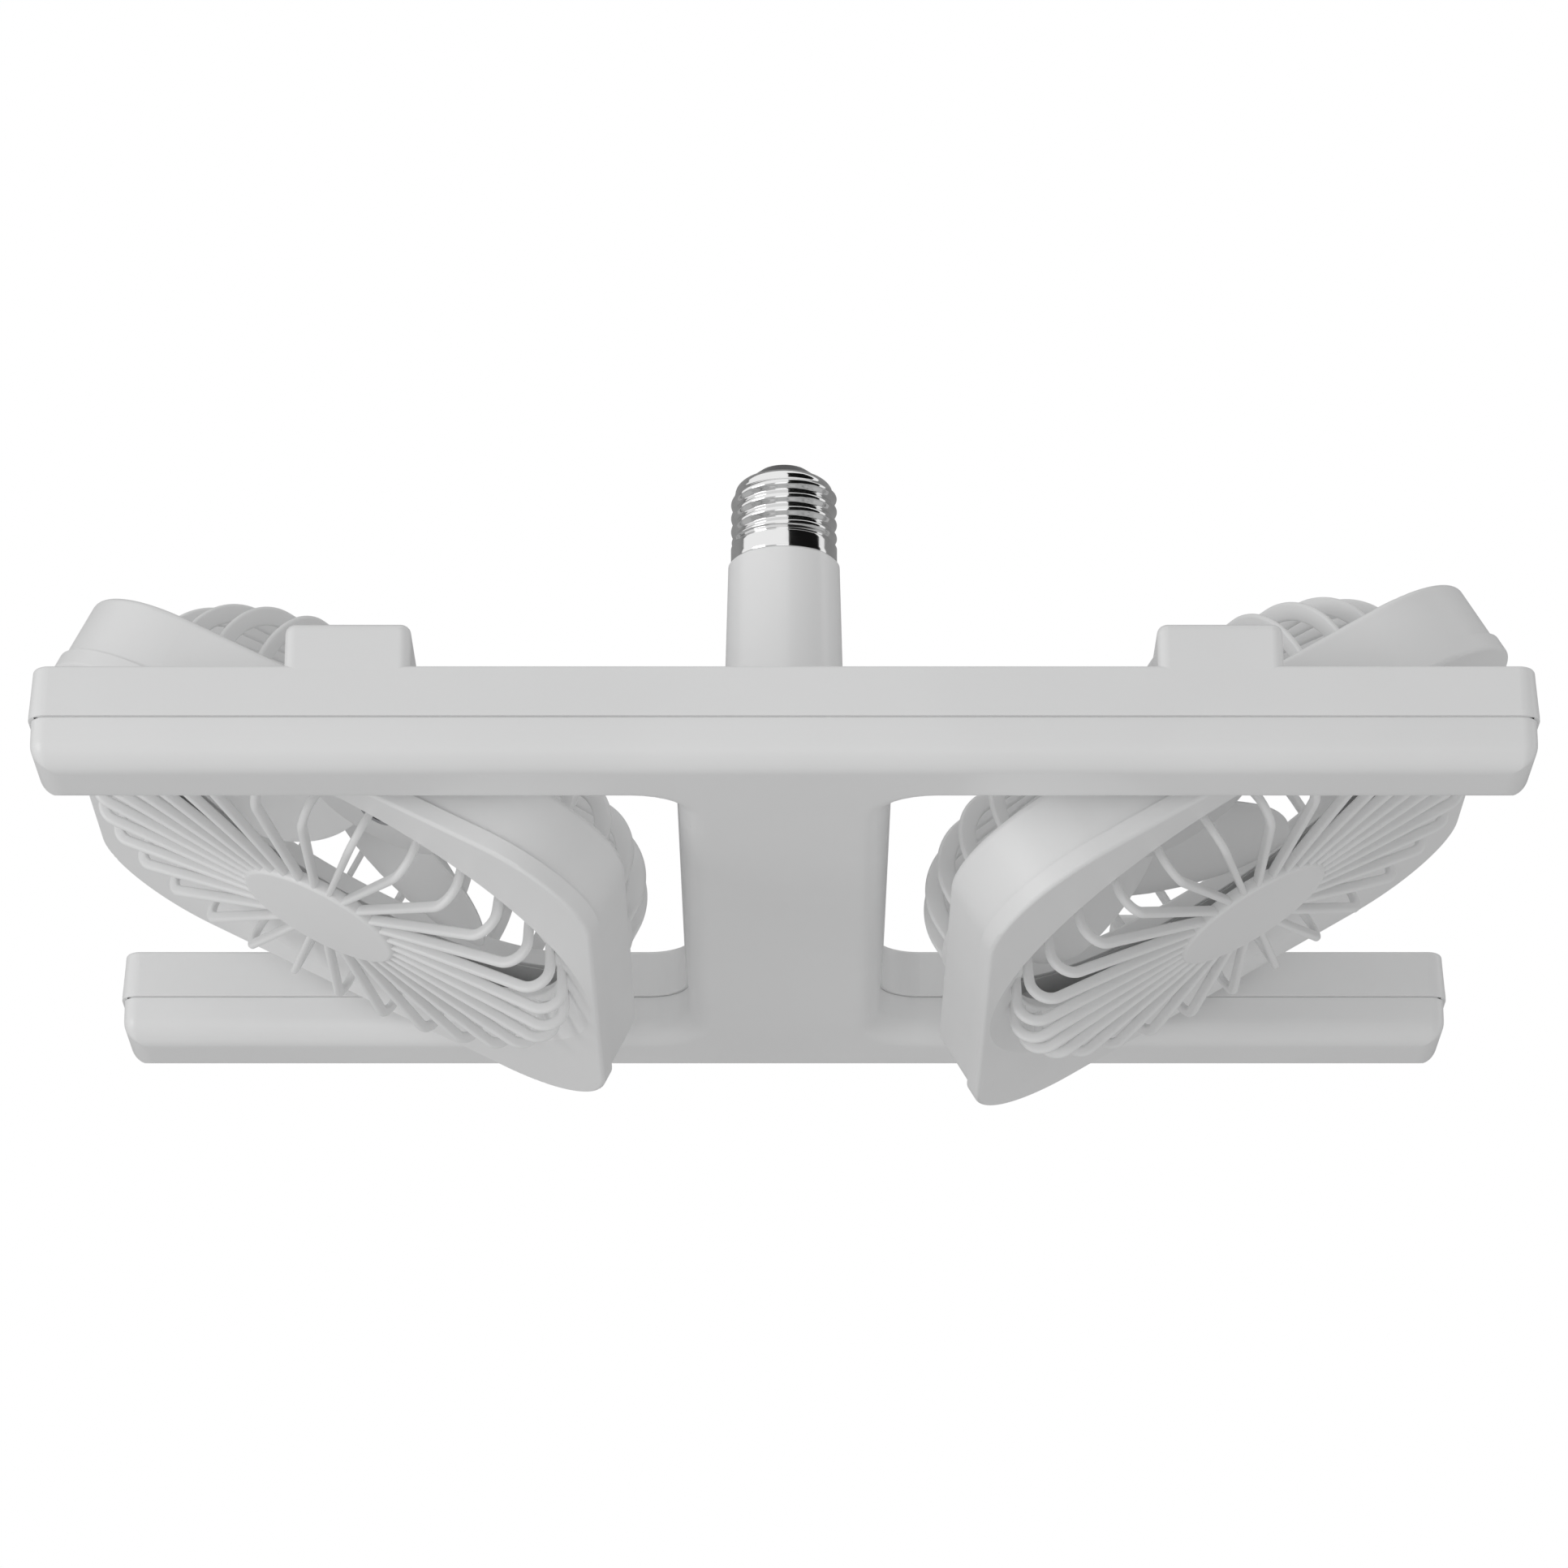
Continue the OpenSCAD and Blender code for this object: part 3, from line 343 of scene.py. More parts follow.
@dataclass(frozen=True)
class StackedSteel(Finish):
    """Coated laminations: thin dark joints between the sheets of a core."""

    sheet: float = 0.5
    joint_depth: float = 0.05

    def inputs(self, kit: NodeKit) -> Inputs:
        """Joints in the last part of each sheet's thickness along Z, over a fine grain."""
        joint = (kit.axes()[2] / (self.sheet * MM)).fraction().step(0.82, 0.95)
        grain = kit.noise(500.0, 3.0)
        sheets = kit.mix(grain, shade(self.colour, 0.85), self.colour)
        return {"Base Color": kit.mix(joint, sheets, shade(self.colour, 0.35)),
                "Roughness": 0.45 + grain * 0.1,
                "Normal": kit.bump(1 - joint, 0.5, self.joint_depth * MM)}


WHITE = (0.86, 0.862, 0.862)
FINISHES = (
    MouldedPlastic("white_housing", WHITE, roughness=0.36, coat=0.12),
    # Painted light: the stem is the housing's white plastic, painted brighter to stand in for the
    # light that falls on it.
    MouldedPlastic("stem_plastic_painted_light", (0.95, 0.952, 0.952), roughness=0.3, coat=0.2),
    MouldedPlastic("opal_cover", (0.87, 0.872, 0.872), roughness=0.36, coat=0.12, grain=0.01),
    MouldedPlastic("head_plastic", WHITE, roughness=0.42, coat=0.05),
    MouldedPlastic("grille_plastic", WHITE, roughness=0.44, coat=0.03),
    # Painted light: the impeller's white is a little lighter than the head's, to lift the shade
    # inside the head.
    MouldedPlastic("impeller_plastic", (0.88, 0.882, 0.882), roughness=0.46, coat=0.03),
    PlatedMetal("nickel_cap", (0.8, 0.8, 0.8)),
    MouldedPlastic("cap_glass", (0.03, 0.03, 0.033), roughness=0.16, coat=0.4, grain=0.01,
                   clouds=0.2),
    MouldedPlastic("lead_sleeve", (0.42, 0.05, 0.04), roughness=0.55, grain=0.03, clouds=0.1),
    CircuitBoard("board", (0.02, 0.13, 0.05), track=(0.05, 0.24, 0.1)),
    CircuitBoard("light_board", (0.8, 0.8, 0.78), track=(0.86, 0.86, 0.84)),
    MouldedPlastic("terminal_plastic", (0.05, 0.26, 0.14), roughness=0.45),
    MouldedPlastic("core_tape", (0.62, 0.42, 0.05), roughness=0.5, grain=0.04, clouds=0.12),
    MouldedPlastic("capacitor_sleeve", (0.02, 0.02, 0.024), roughness=0.35, coat=0.2),
    MouldedPlastic("phosphor", (0.8, 0.6, 0.12), roughness=0.6, grain=0.05, clouds=0.15),
    WorkedMetal("zinc_screw", (0.6, 0.61, 0.63), roughness=0.32),
    MouldedPlastic("bush_plastic", (0.68, 0.69, 0.68), roughness=0.5),
    WorkedMetal("pivot_steel", (0.56, 0.56, 0.57), roughness=0.28),
    WorkedMetal("spring_steel", (0.42, 0.43, 0.46), roughness=0.3),
    WorkedMetal("motor_alloy", (0.68, 0.68, 0.69), roughness=0.5, line_scale=700.0),
    StackedSteel("lamination", (0.12, 0.15, 0.2)),
    WoundWire("copper_wire", (0.72, 0.33, 0.14)),
    WorkedMetal("rotor_steel", (0.5, 0.5, 0.52)),
    WorkedMetal("magnet", (0.07, 0.07, 0.075), roughness=0.6, line_scale=1400.0, metallic=0.0),
)


class Wardrobe:
    """The materials of all finishes, by name."""

    def __init__(self) -> None:
        """Builds every finish once."""
        self.materials = {finish.name: finish.material() for finish in FINISHES}

    def dress(self, piece: bpy.types.Object, finish: str) -> None:
        """Puts a finish on a piece."""
        piece.data.materials.clear()
        piece.data.materials.append(self.materials[finish])


@dataclass
class Skin:
    """Surfaces as points (n, 3) in millimetres and four-cornered faces (m, 4)."""

    points: np.ndarray
    faces: np.ndarray

    def moved(self, by: Callable[[np.ndarray], np.ndarray]) -> "Skin":
        """The skin with its points passed through a function."""
        return Skin(by(self.points), self.faces)

    def shifted(self, x: float, y: float, z: float) -> "Skin":
        """The skin shifted along the axes."""
        return Skin(self.points + np.array([x, y, z]), self.faces)


def join(skins: Iterable[Skin]) -> Skin:
    """Several skins as one.

    Args:
        skins: The skins.

    Returns:
        One skin with all points and faces.
    """
    skins = list(skins)
    starts = np.cumsum([0] + [len(skin.points) for skin in skins[:-1]])
    return Skin(np.concatenate([skin.points for skin in skins]),
                np.concatenate([skin.faces + start for skin, start in zip(skins, starts)]))


def grid_skin(points: np.ndarray, loop: bool = False) -> Skin:
    """Joins a grid of points (u, v, 3) with faces.

    Args:
        points: Points, such that v runs round a closed section and u along it.
        loop: Joins the last u to the first.

    Returns:
        The skin, open at both ends unless it is a loop.
    """
    rows, cols = points.shape[:2]
    a, b = np.meshgrid(np.arange(rows if loop else rows - 1), np.arange(cols), indexing="ij")
    c, d = (a + 1) % rows, (b + 1) % cols
    faces = np.stack([a * cols + b, a * cols + d, c * cols + d, c * cols + b], axis=-1)
    return Skin(points.reshape(-1, 3), faces.reshape(-1, 4))


def arc(centre: Sequence[float], radius: float, angle: np.ndarray) -> np.ndarray:
    """Points (n, 2) of a circle: centre + r (cos a, sin a)."""
    return np.asarray(centre) + radius * np.stack([np.cos(angle), np.sin(angle)], axis=-1)


def polar(radius: np.ndarray, angle: np.ndarray, height: Union[np.ndarray, float]) -> np.ndarray:
    """Points (r cos a, r sin a, z) from radii, angles and heights that broadcast together."""
    parts = np.broadcast_arrays(radius * np.cos(angle), radius * np.sin(angle), height)
    return np.stack(parts, axis=-1)


def turned(points: np.ndarray, angle: float) -> np.ndarray:
    """Points turned about Z: (x cos a - y sin a, x sin a + y cos a, z).

    Args:
        points: Points (n, 3).
        angle: Angle in radians.

    Returns:
        The turned points.
    """
    x, y, z = points.T
    c, s = np.cos(angle), np.sin(angle)
    return np.stack([x * c - y * s, x * s + y * c, z], axis=-1)


def turned_copies(skin: Skin, count: int, start: float = 0.0) -> Skin:
    """A skin repeated round Z, the first one turned by a share of the pitch."""
    angles = (np.arange(count) + start) * 2 * np.pi / count
    return join(Skin(turned(skin.points, angle), skin.faces) for angle in angles)


def rounded_profile(corners: Sequence[Corner], steps: int) -> np.ndarray:
    """A closed outline with rounded corners.

    Each corner (x, y, r) becomes a circle arc of radius r that touches both of its sides: its
    centre lies on the corner's bisector at r / sin(half the corner's angle).

    Args:
        corners: Corners in order.
        steps: Steps along each arc.

    Returns:
        Points (n, 2).
    """
    place = np.array([corner[:2] for corner in corners], float)
    out = []
    for at, (_, _, r) in enumerate(corners):
        here = place[at]
        before, after = place[at - 1] - here, place[(at + 1) % len(corners)] - here
        before, after = before / np.linalg.norm(before), after / np.linalg.norm(after)
        half = math.acos(float(np.clip(before @ after, -1, 1))) / 2
        if r <= 0 or half > math.pi / 2 - 1e-4:
            out.append(here[None])
            continue
        reach = r / math.tan(half)
        bisector = (before + after) / np.linalg.norm(before + after)
        centre = here + bisector * r / math.sin(half)
        start, end = here + before * reach - centre, here + after * reach - centre
        turn = math.atan2(start[0] * end[1] - start[1] * end[0], float(start @ end))
        a = math.atan2(start[1], start[0]) + np.linspace(0, turn, steps + 1)
        out.append(arc(centre, r, a))
    return np.concatenate(out)


def lathe(corners: Sequence[Corner], arc_steps: int = 8, steps: int = 128) -> Skin:
    """Turns a closed outline of (radius, height) about Z: (r cos a, r sin a, z) for each angle.

    Args:
        corners: The outline's corners as (radius, height, rounding).
        arc_steps: Steps along each rounding.
        steps: Steps round the circle.

    Returns:
        The skin.
    """
    profile = rounded_profile(corners, arc_steps)
    angle = np.linspace(0, 2 * np.pi, steps, endpoint=False)
    return grid_skin(polar(profile[:, :1], angle, profile[:, 1:]), loop=True)


def plate_skin(path: np.ndarray, depth: np.ndarray, thickness: np.ndarray) -> Skin:
    """A plate with rounded edges that follows a path in the plane of radius and height.

    A point is path(s) + normal(s) d + (0, w, 0), where (d, w) runs round a rectangle of depth(s)
    by thickness(s) whose corners have a radius of 0.46 of the thickness. Its two ends are drawn
    together to a point.

    Args:
        path: Middle line (s, 2) as radius and height.
        depth: Depth at each step, across the path in its plane.
        thickness: Thickness at each step, across the plane.

    Returns:
        The skin, in the plane y = 0.
    """
    round_share, arc_steps = 0.46, 5
    way = np.gradient(path, axis=0)
    way /= np.linalg.norm(way, axis=1)[:, None]
    normal = np.stack([-way[:, 1], way[:, 0]], axis=-1)
    corner = np.repeat([[1, 1], [-1, 1], [-1, -1], [1, -1]], arc_steps, axis=0)
    quarter = np.linspace(0, np.pi / 2, arc_steps)
    angle = np.concatenate([quarter + at * np.pi / 2 for at in range(4)])
    r = (round_share * thickness)[:, None]
    d = corner[:, 0] * (depth[:, None] / 2 - r) + r * np.cos(angle)
    w = corner[:, 1] * (thickness[:, None] / 2 - r) + r * np.sin(angle)
    flat = path[:, None] + normal[:, None] * d[..., None]
    points = np.stack([flat[..., 0], w, flat[..., 1]], axis=-1)
    middle = np.stack([path[:, 0], 0 * path[:, 0], path[:, 1]], axis=-1)[:, None]
    first, last = (np.repeat(end, len(angle), axis=1) for end in (middle[:1], middle[-1:]))
    return grid_skin(np.concatenate([first, points, last]))


def add_object(name: str, data: bpy.types.ID) -> bpy.types.Object:
    """Adds an object to the scene.

    Args:
        name: Its name.
        data: Its mesh, light or camera.

    Returns:
        The object.
    """
    thing = bpy.data.objects.new(name, data)
    bpy.context.scene.collection.objects.link(thing)
    return thing


class Workshop:
    """Turns skins into pieces of the scene, welding points closer than weld millimetres."""

    weld: float = 0.0004

    def __init__(self, wardrobe: Wardrobe) -> None:
        """Keeps the wardrobe."""
        self.wardrobe = wardrobe

    def mesh(self, name: str, skin: Skin) -> bpy.types.Mesh:
        """Makes a closed mesh: welds points that meet and gives open ends a flat face.

        Args:
            name: The mesh's name.
            skin: Its surfaces in millimetres.

        Returns:
            The mesh, in metres, with its normals outward.
        """
        mesh = bpy.data.meshes.new(name)
        mesh.vertices.add(len(skin.points))
        mesh.vertices.foreach_set("co", (skin.points * MM).astype(np.float32).ravel())
        mesh.loops.add(skin.faces.size)
        mesh.loops.foreach_set("vertex_index", skin.faces.astype(np.int32).ravel())
        mesh.polygons.add(len(skin.faces))
        starts = np.arange(0, skin.faces.size, 4, dtype=np.int32)
        mesh.polygons.foreach_set("loop_start", starts)
        mesh.update(calc_edges=True)
        work = bmesh.new()
        work.from_mesh(mesh)
        bmesh.ops.remove_doubles(work, verts=work.verts, dist=self.weld * MM)
        open_edges = [edge for edge in work.edges if edge.is_boundary]
        bmesh.ops.holes_fill(work, edges=open_edges, sides=0)
        bmesh.ops.recalc_face_normals(work, faces=work.faces)
        work.to_mesh(mesh)
        work.free()
        return mesh

    def piece(self, name: str, skin: Skin, slot: str, body: str, nodes: Sequence[str],
              sharp: float = 35.0) -> None:
        """Makes a piece.

        Args:
            name: Its name.
            skin: Its surfaces in millimetres.
            slot: The material slot of the record.
            body: The body that it rides on.
            nodes: The CAD nodes that it stands for.
            sharp: Edges that bend more than this many degrees stay sharp.
        """
        mesh = self.mesh(name, skin)
        mesh.polygons.foreach_set("use_smooth", np.ones(len(mesh.polygons), dtype=bool))
        mesh.set_sharp_from_angle(angle=math.radians(sharp))
        mesh.validate()
        piece = add_object(name, mesh)
        self.wardrobe.dress(piece, slot)
        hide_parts(*nodes)
        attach(piece, body)
        log.info("%s: %d faces on %s", name, len(mesh.polygons), body)


@dataclass
class ScrewCap:
    """The threaded metal cap on the stem. Sizes in millimetres."""

    crest_r: float = 13.2
    thread_depth: float = 1.05
    pitch: float = 3.63
    turns: float = 4.0
    thread_gap: float = 0.25
    ease: float = 0.35
    skirt_h: float = 4.8
    crown_h: float = 2.5
    crown_r: float = 10.7
    crown_hole_r: float = 8.025
    sheet: float = 0.5

    @property
    def root_r(self) -> float:
        """Radius at the bottom of the thread."""
        return self.crest_r - self.thread_depth

    @property
    def thread_top(self) -> float:
        """Height of the thread's end."""
        return self.skirt_h + self.turns * self.pitch

    def skirt(self) -> np.ndarray:
        """Profile of the plain skirt, from its foot to the start of the thread.

        Returns:
            Points (n, 2) as radius and height, with both edges rounded.
        """
        r, root, top = self.crest_r, self.root_r, self.skirt_h
        return np.array([(r - 0.25, 0.0), (r, 0.25), (r, 1.2), (r, top - 1.0), (r, top - 0.35),
                         (r - 0.12, top - 0.1), (root + 0.25, top + 0.12),
                         (root + 0.04, top + 0.2)])

    def thread(self, angle: np.ndarray) -> np.ndarray:
        """The rolled thread.

        The radius is root + depth * ridge(z / pitch - angle / one turn), where ridge is a raised
        cosine to the power of 0.8, which broadens its crests. It is eased in and out over 0.35
        of the pitch at the ends.

        Args:
            angle: Angles round the cap in radians.

        Returns:
            Points (rows, angles, 3).
        """
        start, top = self.skirt_h + self.thread_gap, self.thread_top
        z = np.linspace(start, top, 110)[:, None]
        phase = (z - self.skirt_h) / self.pitch - angle / (2 * np.pi) - 0.25
        ridge = (0.5 + 0.5 * np.cos(2 * np.pi * (phase - 0.5))) ** 0.8
        ease_in = np.clip((z - start) / (self.ease * self.pitch), 0, 1)
        ease_out = np.clip((top - z) / (self.ease * self.pitch), 0, 1)
        ridge = ridge * ease_in * ease_in * (3 - 2 * ease_in) * ease_out * (2 - ease_out)
        return polar(self.root_r + self.thread_depth * ridge, angle, z)

    def crown(self) -> np.ndarray:
        """Profile of the rest: over the crown, through its hole and down the plain inside.

        With t from 0 to 1, the crown bends inwards by t^1.8 of its width and up by t^0.75 of its
        height.

        Returns:
            Points (n, 2) as radius and height.
        """
        r, root, base = self.crown_r, self.root_r, self.thread_top
        t = np.linspace(0, 1, 9)[1:]
        bend = np.stack([root - (root - r) * t ** 1.8, base + (self.crown_h - 0.05) * t ** 0.75],
                        axis=-1)
        top, inner = base + self.crown_h, root - self.sheet
        rest = [(r - 0.4, top), (r - 1.4, top), (self.crown_hole_r, top),
                (self.crown_hole_r, top - self.sheet), (r - self.sheet, top - self.sheet),
                (inner, base), (inner, self.skirt_h), (inner, 0.0)]
        return np.concatenate([bend, rest])

    def skin(self) -> Skin:
        """Skirt, thread, crown and inside as one surface.

        Returns:
            The skin.
        """
        angle = np.linspace(0, 2 * np.pi, 144, endpoint=False)
        skirt, crown = (polar(part[:, :1], angle, part[:, 1:])
                        for part in (self.skirt(), self.crown()))
        return grid_skin(np.concatenate([skirt, self.thread(angle), crown]), loop=True)

    def build(self, shop: Workshop) -> None:
        """Makes the cap's piece."""
        shop.piece("threaded_cap", self.skin(), "nickel_cap", "frame", ["screw_shell"], 50.0)


@dataclass
class Impeller:
    """Hub and blades, in the head's own frame. Sizes in millimetres, angles in degrees."""

    blades: int = 5
    hub_r: float = 19.0
    hub_wall: float = 1.95
    hub_face: float = 3.35
    bore_r: float = 4.05
    root_sink: float = 1.2
    tip_r: float = 57.0
    span: float = 61.0
    rise: float = 18.0
    thickness: float = 1.8
    sweep: float = 14.0
    drop: float = 8.5
    camber: float = 3.0
    front: float = 10.6
    back: float = 32.0
    tip_start: float = 0.9
    flatness: float = 0.6

    def blade(self) -> Skin:
        """One blade.

        With t from root to tip and c across the blade from -1 to 1, a point has the radius
        root + (tip - root) t (1 - 0.1 c^6 t), the angle span c / 2 + sweep t^2 and the height
        middle - drop t + rise c / 2 + camber (c^2 - 1/2) t. The section round it is a flat oval:
        c = cos(a)^0.6 and height + thickness / 2 (1 - t / 4) sin(a)^0.6. Over the last tenth
        towards the tip its thickness closes and its width loses 3 %. The last section is laid
        flat on its own middle, so that the tip closes along a line.

        Returns:
            The skin.
        """
        tip_share = 1 - self.tip_start
        closing = 1 - tip_share * (1 - np.sin(np.linspace(0.25, np.pi / 2, 6)))
        t = np.concatenate([np.linspace(0, self.tip_start, 16), closing])[:, None]
        a = np.linspace(0, 2 * np.pi, 44, endpoint=False)
        c, lift = (np.sign(wave) * np.abs(wave) ** self.flatness for wave in (np.cos(a), np.sin(a)))
        along_tip = (np.clip(t, self.tip_start, 1) - self.tip_start) / tip_share
        close = np.sqrt(np.clip(1 - along_tip ** 2, 0, 1))
        c = c * (0.97 + 0.03 * close)
        root, middle = self.hub_r - self.root_sink, (self.front + self.back) / 2
        r = root + (self.tip_r - root) * t * (1 - 0.1 * c ** 6 * t)
        angle = np.radians(self.span / 2 * c + self.sweep * t * t)
        z = middle - self.drop * t + self.rise / 2 * c + self.camber * (c * c - 0.5) * t
        z = z + lift * self.thickness / 2 * close * (1 - 0.25 * t)
        points = polar(r, angle, z)
        root_point = np.repeat(points[0].mean(axis=0)[None, None], len(a), axis=1)
        tip_line = (points[-1:] + points[-1:, -np.arange(len(a))]) / 2
        return grid_skin(np.concatenate([root_point, points, tip_line]))

    def hub(self) -> Skin:
        """The hub: a cup that opens to the back, with a rounded front edge.

        Returns:
            The skin.
        """
        r, inner_r, floor = self.hub_r, self.hub_r - self.hub_wall, self.front + self.hub_face
        cup = [(self.bore_r, self.front, 0.3), (r, self.front, 2.2), (r, self.back, 0.4),
               (inner_r, self.back, 0.4), (inner_r, floor, 0.3), (self.bore_r, floor, 0.3)]
        return lathe(cup, steps=96)

    def skin(self) -> Skin:
        """Hub and blades."""
        return join([self.hub(), turned_copies(self.blade(), self.blades)])


@dataclass
class FrontGrille:
    """Ribs, hub disc and ring before the impeller, in the head's own frame. Millimetres."""

    ribs: int = 30
    hub_r: float = 20.5
    hub_h: float = 3.4
    face: float = -19.0
    shoulder_r: float = 65.0
    bend: float = 5.0
    half_depth: float = 1.4
    start_r: float = 18.0
    ring_r: float = 60.85
    ring_w: float = 2.6
    ring_front: float = -5.5
    ring_back: float = -2.5

    def rib(self) -> Skin:
        """A rib: straight from the hub, round the shoulder, then hooked back into the ring.

        The middle line is straight, then a quarter circle, then the cubic that leaves the circle
        upright and reaches the ring upright, with end tangents of 7 mm. The rib is a little
        deeper than it is wide.

        Returns:
            The skin.
        """
        mid_z, bend_r = self.face + self.half_depth, self.shoulder_r - self.half_depth - self.bend
        straight = np.linspace(self.start_r, bend_r, 12)
        a = np.linspace(-np.pi / 2, 0, 10)[1:]
        shoulder = arc((bend_r, mid_z + self.bend), self.bend, a)
        t = np.linspace(0, 1, 9)[1:, None]
        start, end = shoulder[-1], np.array([self.ring_r - 1.35, self.ring_back - 0.7])
        up = np.array([0.0, 7.0])
        hook = ((2 * t**3 - 3 * t**2 + 1) * start + (t**3 - 2 * t**2 + t) * up
                + (-2 * t**3 + 3 * t**2) * end + (t**3 - t**2) * up)
        line = np.stack([straight, 0 * straight + mid_z], axis=-1)
        path = np.concatenate([line, shoulder, hook])
        s = np.linspace(0, 1, len(path))
        depth = np.interp(s, [0, 0.3, 0.62, 0.8, 1], [2.7, 2.8, 2.8, 2.6, 2.1])
        thick = np.interp(s, [0, 0.4, 1], [1.5, 1.9, 2.0])
        return plate_skin(path, depth, thick)

    def skin(self) -> Skin:
        """Ribs, hub disc and ring. The first rib stands half a pitch from the X axis.

        Returns:
            The skin.
        """
        front = self.face - 0.4
        back = front + self.hub_h
        hub = [(self.hub_r, back, 0.5), (0.0, back, 0), (0.0, front, 0), (self.hub_r, front, 1.1)]
        inner_r = self.ring_r - self.ring_w
        ring = [(inner_r, self.ring_front, 0.7), (self.ring_r, self.ring_front, 0.4),
                (self.ring_r, self.ring_back, 0.3), (inner_r, self.ring_back, 0.5)]
        ribs = turned_copies(self.rib(), self.ribs, 0.5)
        return join([ribs, lathe(hub), lathe(ring, 5, 144)])


@dataclass
class RearGrille:
    """Ribs, hub disc, foot ring and screw lugs behind the impeller, in the head's own frame.

    Sizes in millimetres. The base is the height of the head shell's back.
    """

    ribs: int = 30
    hub_r: float = 20.5
    hub_h: float = 3.6
    dome_r: float = 70.5
    dome_h: float = 30.5
    base: float = 9.6
    bend: float = 18.0
    rib_depth: float = 4.5
    rib_thickness: float = 1.6
    start_r: float = 17.5
    ring_inner_r: float = 63.85
    spigot_r: float = 65.85
    spigot_h: float = 2.1
    ring_outer_r: float = 70.2
    ring_h: float = 2.5
    lug_r: float = 75.0
    lug_half_w: float = 4.3
    lug_reach: float = 6.6
    screw_hole_r: float = 1.45
    screw_place: Tuple[float, float] = (43.0, 53.1)

    def rib(self) -> Skin:
        """A rib: a sloping line from the hub, a bend about the shoulder, then down to the foot.

        The line touches the bend's circle, of radius r about c, where the angle is the line's
        own direction from c less acos(r / the distance from c to its start).

        Returns:
            The skin.
        """
        r = self.bend - self.rib_depth / 2
        centre = np.array([self.dome_r - 0.5 - self.bend, self.base + 6.0])
        start = np.array([self.start_r, self.base + self.dome_h - self.rib_depth / 2])
        way = start - centre
        a = np.linspace(math.atan2(way[1], way[0]) - math.acos(r / np.hypot(*way)), 0, 20)
        shoulder = arc(centre, r, a)
        line = start + (shoulder[0] - start) * np.linspace(0, 1, 10)[:-1, None]
        foot_r = centre[0] + r
        foot = [(foot_r, centre[1] - 3.0), (foot_r, self.base + 0.1)]
        path = np.concatenate([line, shoulder, foot])
        return plate_skin(path, np.full(len(path), self.rib_depth),
                          np.full(len(path), self.rib_thickness))

    def lug(self, angle: float) -> Skin:
        """A screw lug at an angle round the grille.

        Its outline in polar form round the screw is a half circle of radius w outwards and,
        inwards, the straight sides that reach the foot ring: min(reach / |cos a|, w / |sin a|).

        Args:
            angle: Place round the grille in radians.

        Returns:
            The skin.
        """
        a = np.linspace(0, 2 * np.pi, 72, endpoint=False)
        along, across = np.maximum(np.abs(np.cos(a)), 1e-6), np.maximum(np.abs(np.sin(a)), 1e-6)
        inward = np.minimum(self.lug_reach / along, self.lug_half_w / across)
        outer = np.where(np.cos(a) < 0, inward, self.lug_half_w)
        hole, base, top = self.screw_hole_r + 0 * a, self.base, self.base + self.ring_h
        rows = [(hole, base), (outer, base), (outer, top - 0.5), (outer - 0.15, top - 0.15),
                (outer - 0.5, top), (hole + 0.2, top), (hole, top - 0.2)]
        skin = grid_skin(np.stack([polar(r, a, z) for r, z in rows]), loop=True)
        return skin.shifted(self.lug_r, 0.0, 0.0).moved(lambda points: turned(points, angle))

    def skin(self) -> Skin:
        """Ribs, hub disc, foot ring and lugs. The first rib stands half a pitch from the X axis.

        Returns:
            The skin.
        """
        top, base = self.base + self.dome_h, self.base
        hub = [(0.0, top - self.hub_h, 0), (self.hub_r, top - self.hub_h, 0.4),
               (self.hub_r, top, 1.0), (0.0, top, 0)]
        foot, head = base - self.spigot_h, base + self.ring_h
        ring = [(self.ring_inner_r, foot, 0.3), (self.spigot_r, foot, 0.3),
                (self.spigot_r, base, 0), (self.ring_outer_r, base, 0.3),
                (self.ring_outer_r, head, 0.9), (self.ring_inner_r, head, 0.9)]
        x, y = self.screw_place
        a = math.atan2(y, x)
        lugs = [self.lug(angle) for angle in (a, -a, math.pi - a, math.pi + a)]
        ribs = turned_copies(self.rib(), self.ribs, 0.5)
        return join([ribs, lathe(hub), lathe(ring, 5, 144), *lugs])


class Side(Enum):
    """The side of the frame that a head hangs on."""

    LEFT = "left"
    RIGHT = "right"

    @property
    def sign(self) -> int:
        """The side's sign along X."""
        return -1 if self is Side.LEFT else 1


@dataclass
class FanHead:
    """A tilting head's fine pieces: two grilles and an impeller. Millimetres and degrees."""

    side: Side
    tilt: float
    pivot_x: float = 104.5
    pivot_z: float = -75.4

    def placed(self, points: np.ndarray) -> np.ndarray:
        """Points moved from the head's own frame to the row frame.

        The head's +Z leaves its back. It is turned about Y by the tilt, so that the back leans
        towards the middle of the frame, and its origin goes to the pivot axis.

        Args:
            points: Points (n, 3) in the head's own frame.

        Returns:
            The points in the row frame.
        """
        sign = self.side.sign
        a = -sign * math.radians(self.tilt)
        x, y, z = points.T
        return np.stack([sign * self.pivot_x + x * math.cos(a) + z * math.sin(a), y,
                         self.pivot_z - x * math.sin(a) + z * math.cos(a)], axis=-1)

    def build(self, shop: Workshop) -> None:
        """Makes the head's pieces.

        Args:
            shop: The workshop that makes them.
        """
        name = self.side.value
        shop.piece(f"finned_front_grille_{name}", FrontGrille().skin().moved(self.placed),
                   "grille_plastic", f"{name}_head", [f"front_grille_{name}"])
        shop.piece(f"finned_rear_grille_{name}", RearGrille().skin().moved(self.placed),
                   "grille_plastic", f"{name}_head", [f"rear_grille_{name}"])
        shop.piece(f"bladed_impeller_{name}", Impeller().skin().moved(self.placed),
                   "impeller_plastic", f"{name}_fan", [f"impeller_{name}"])


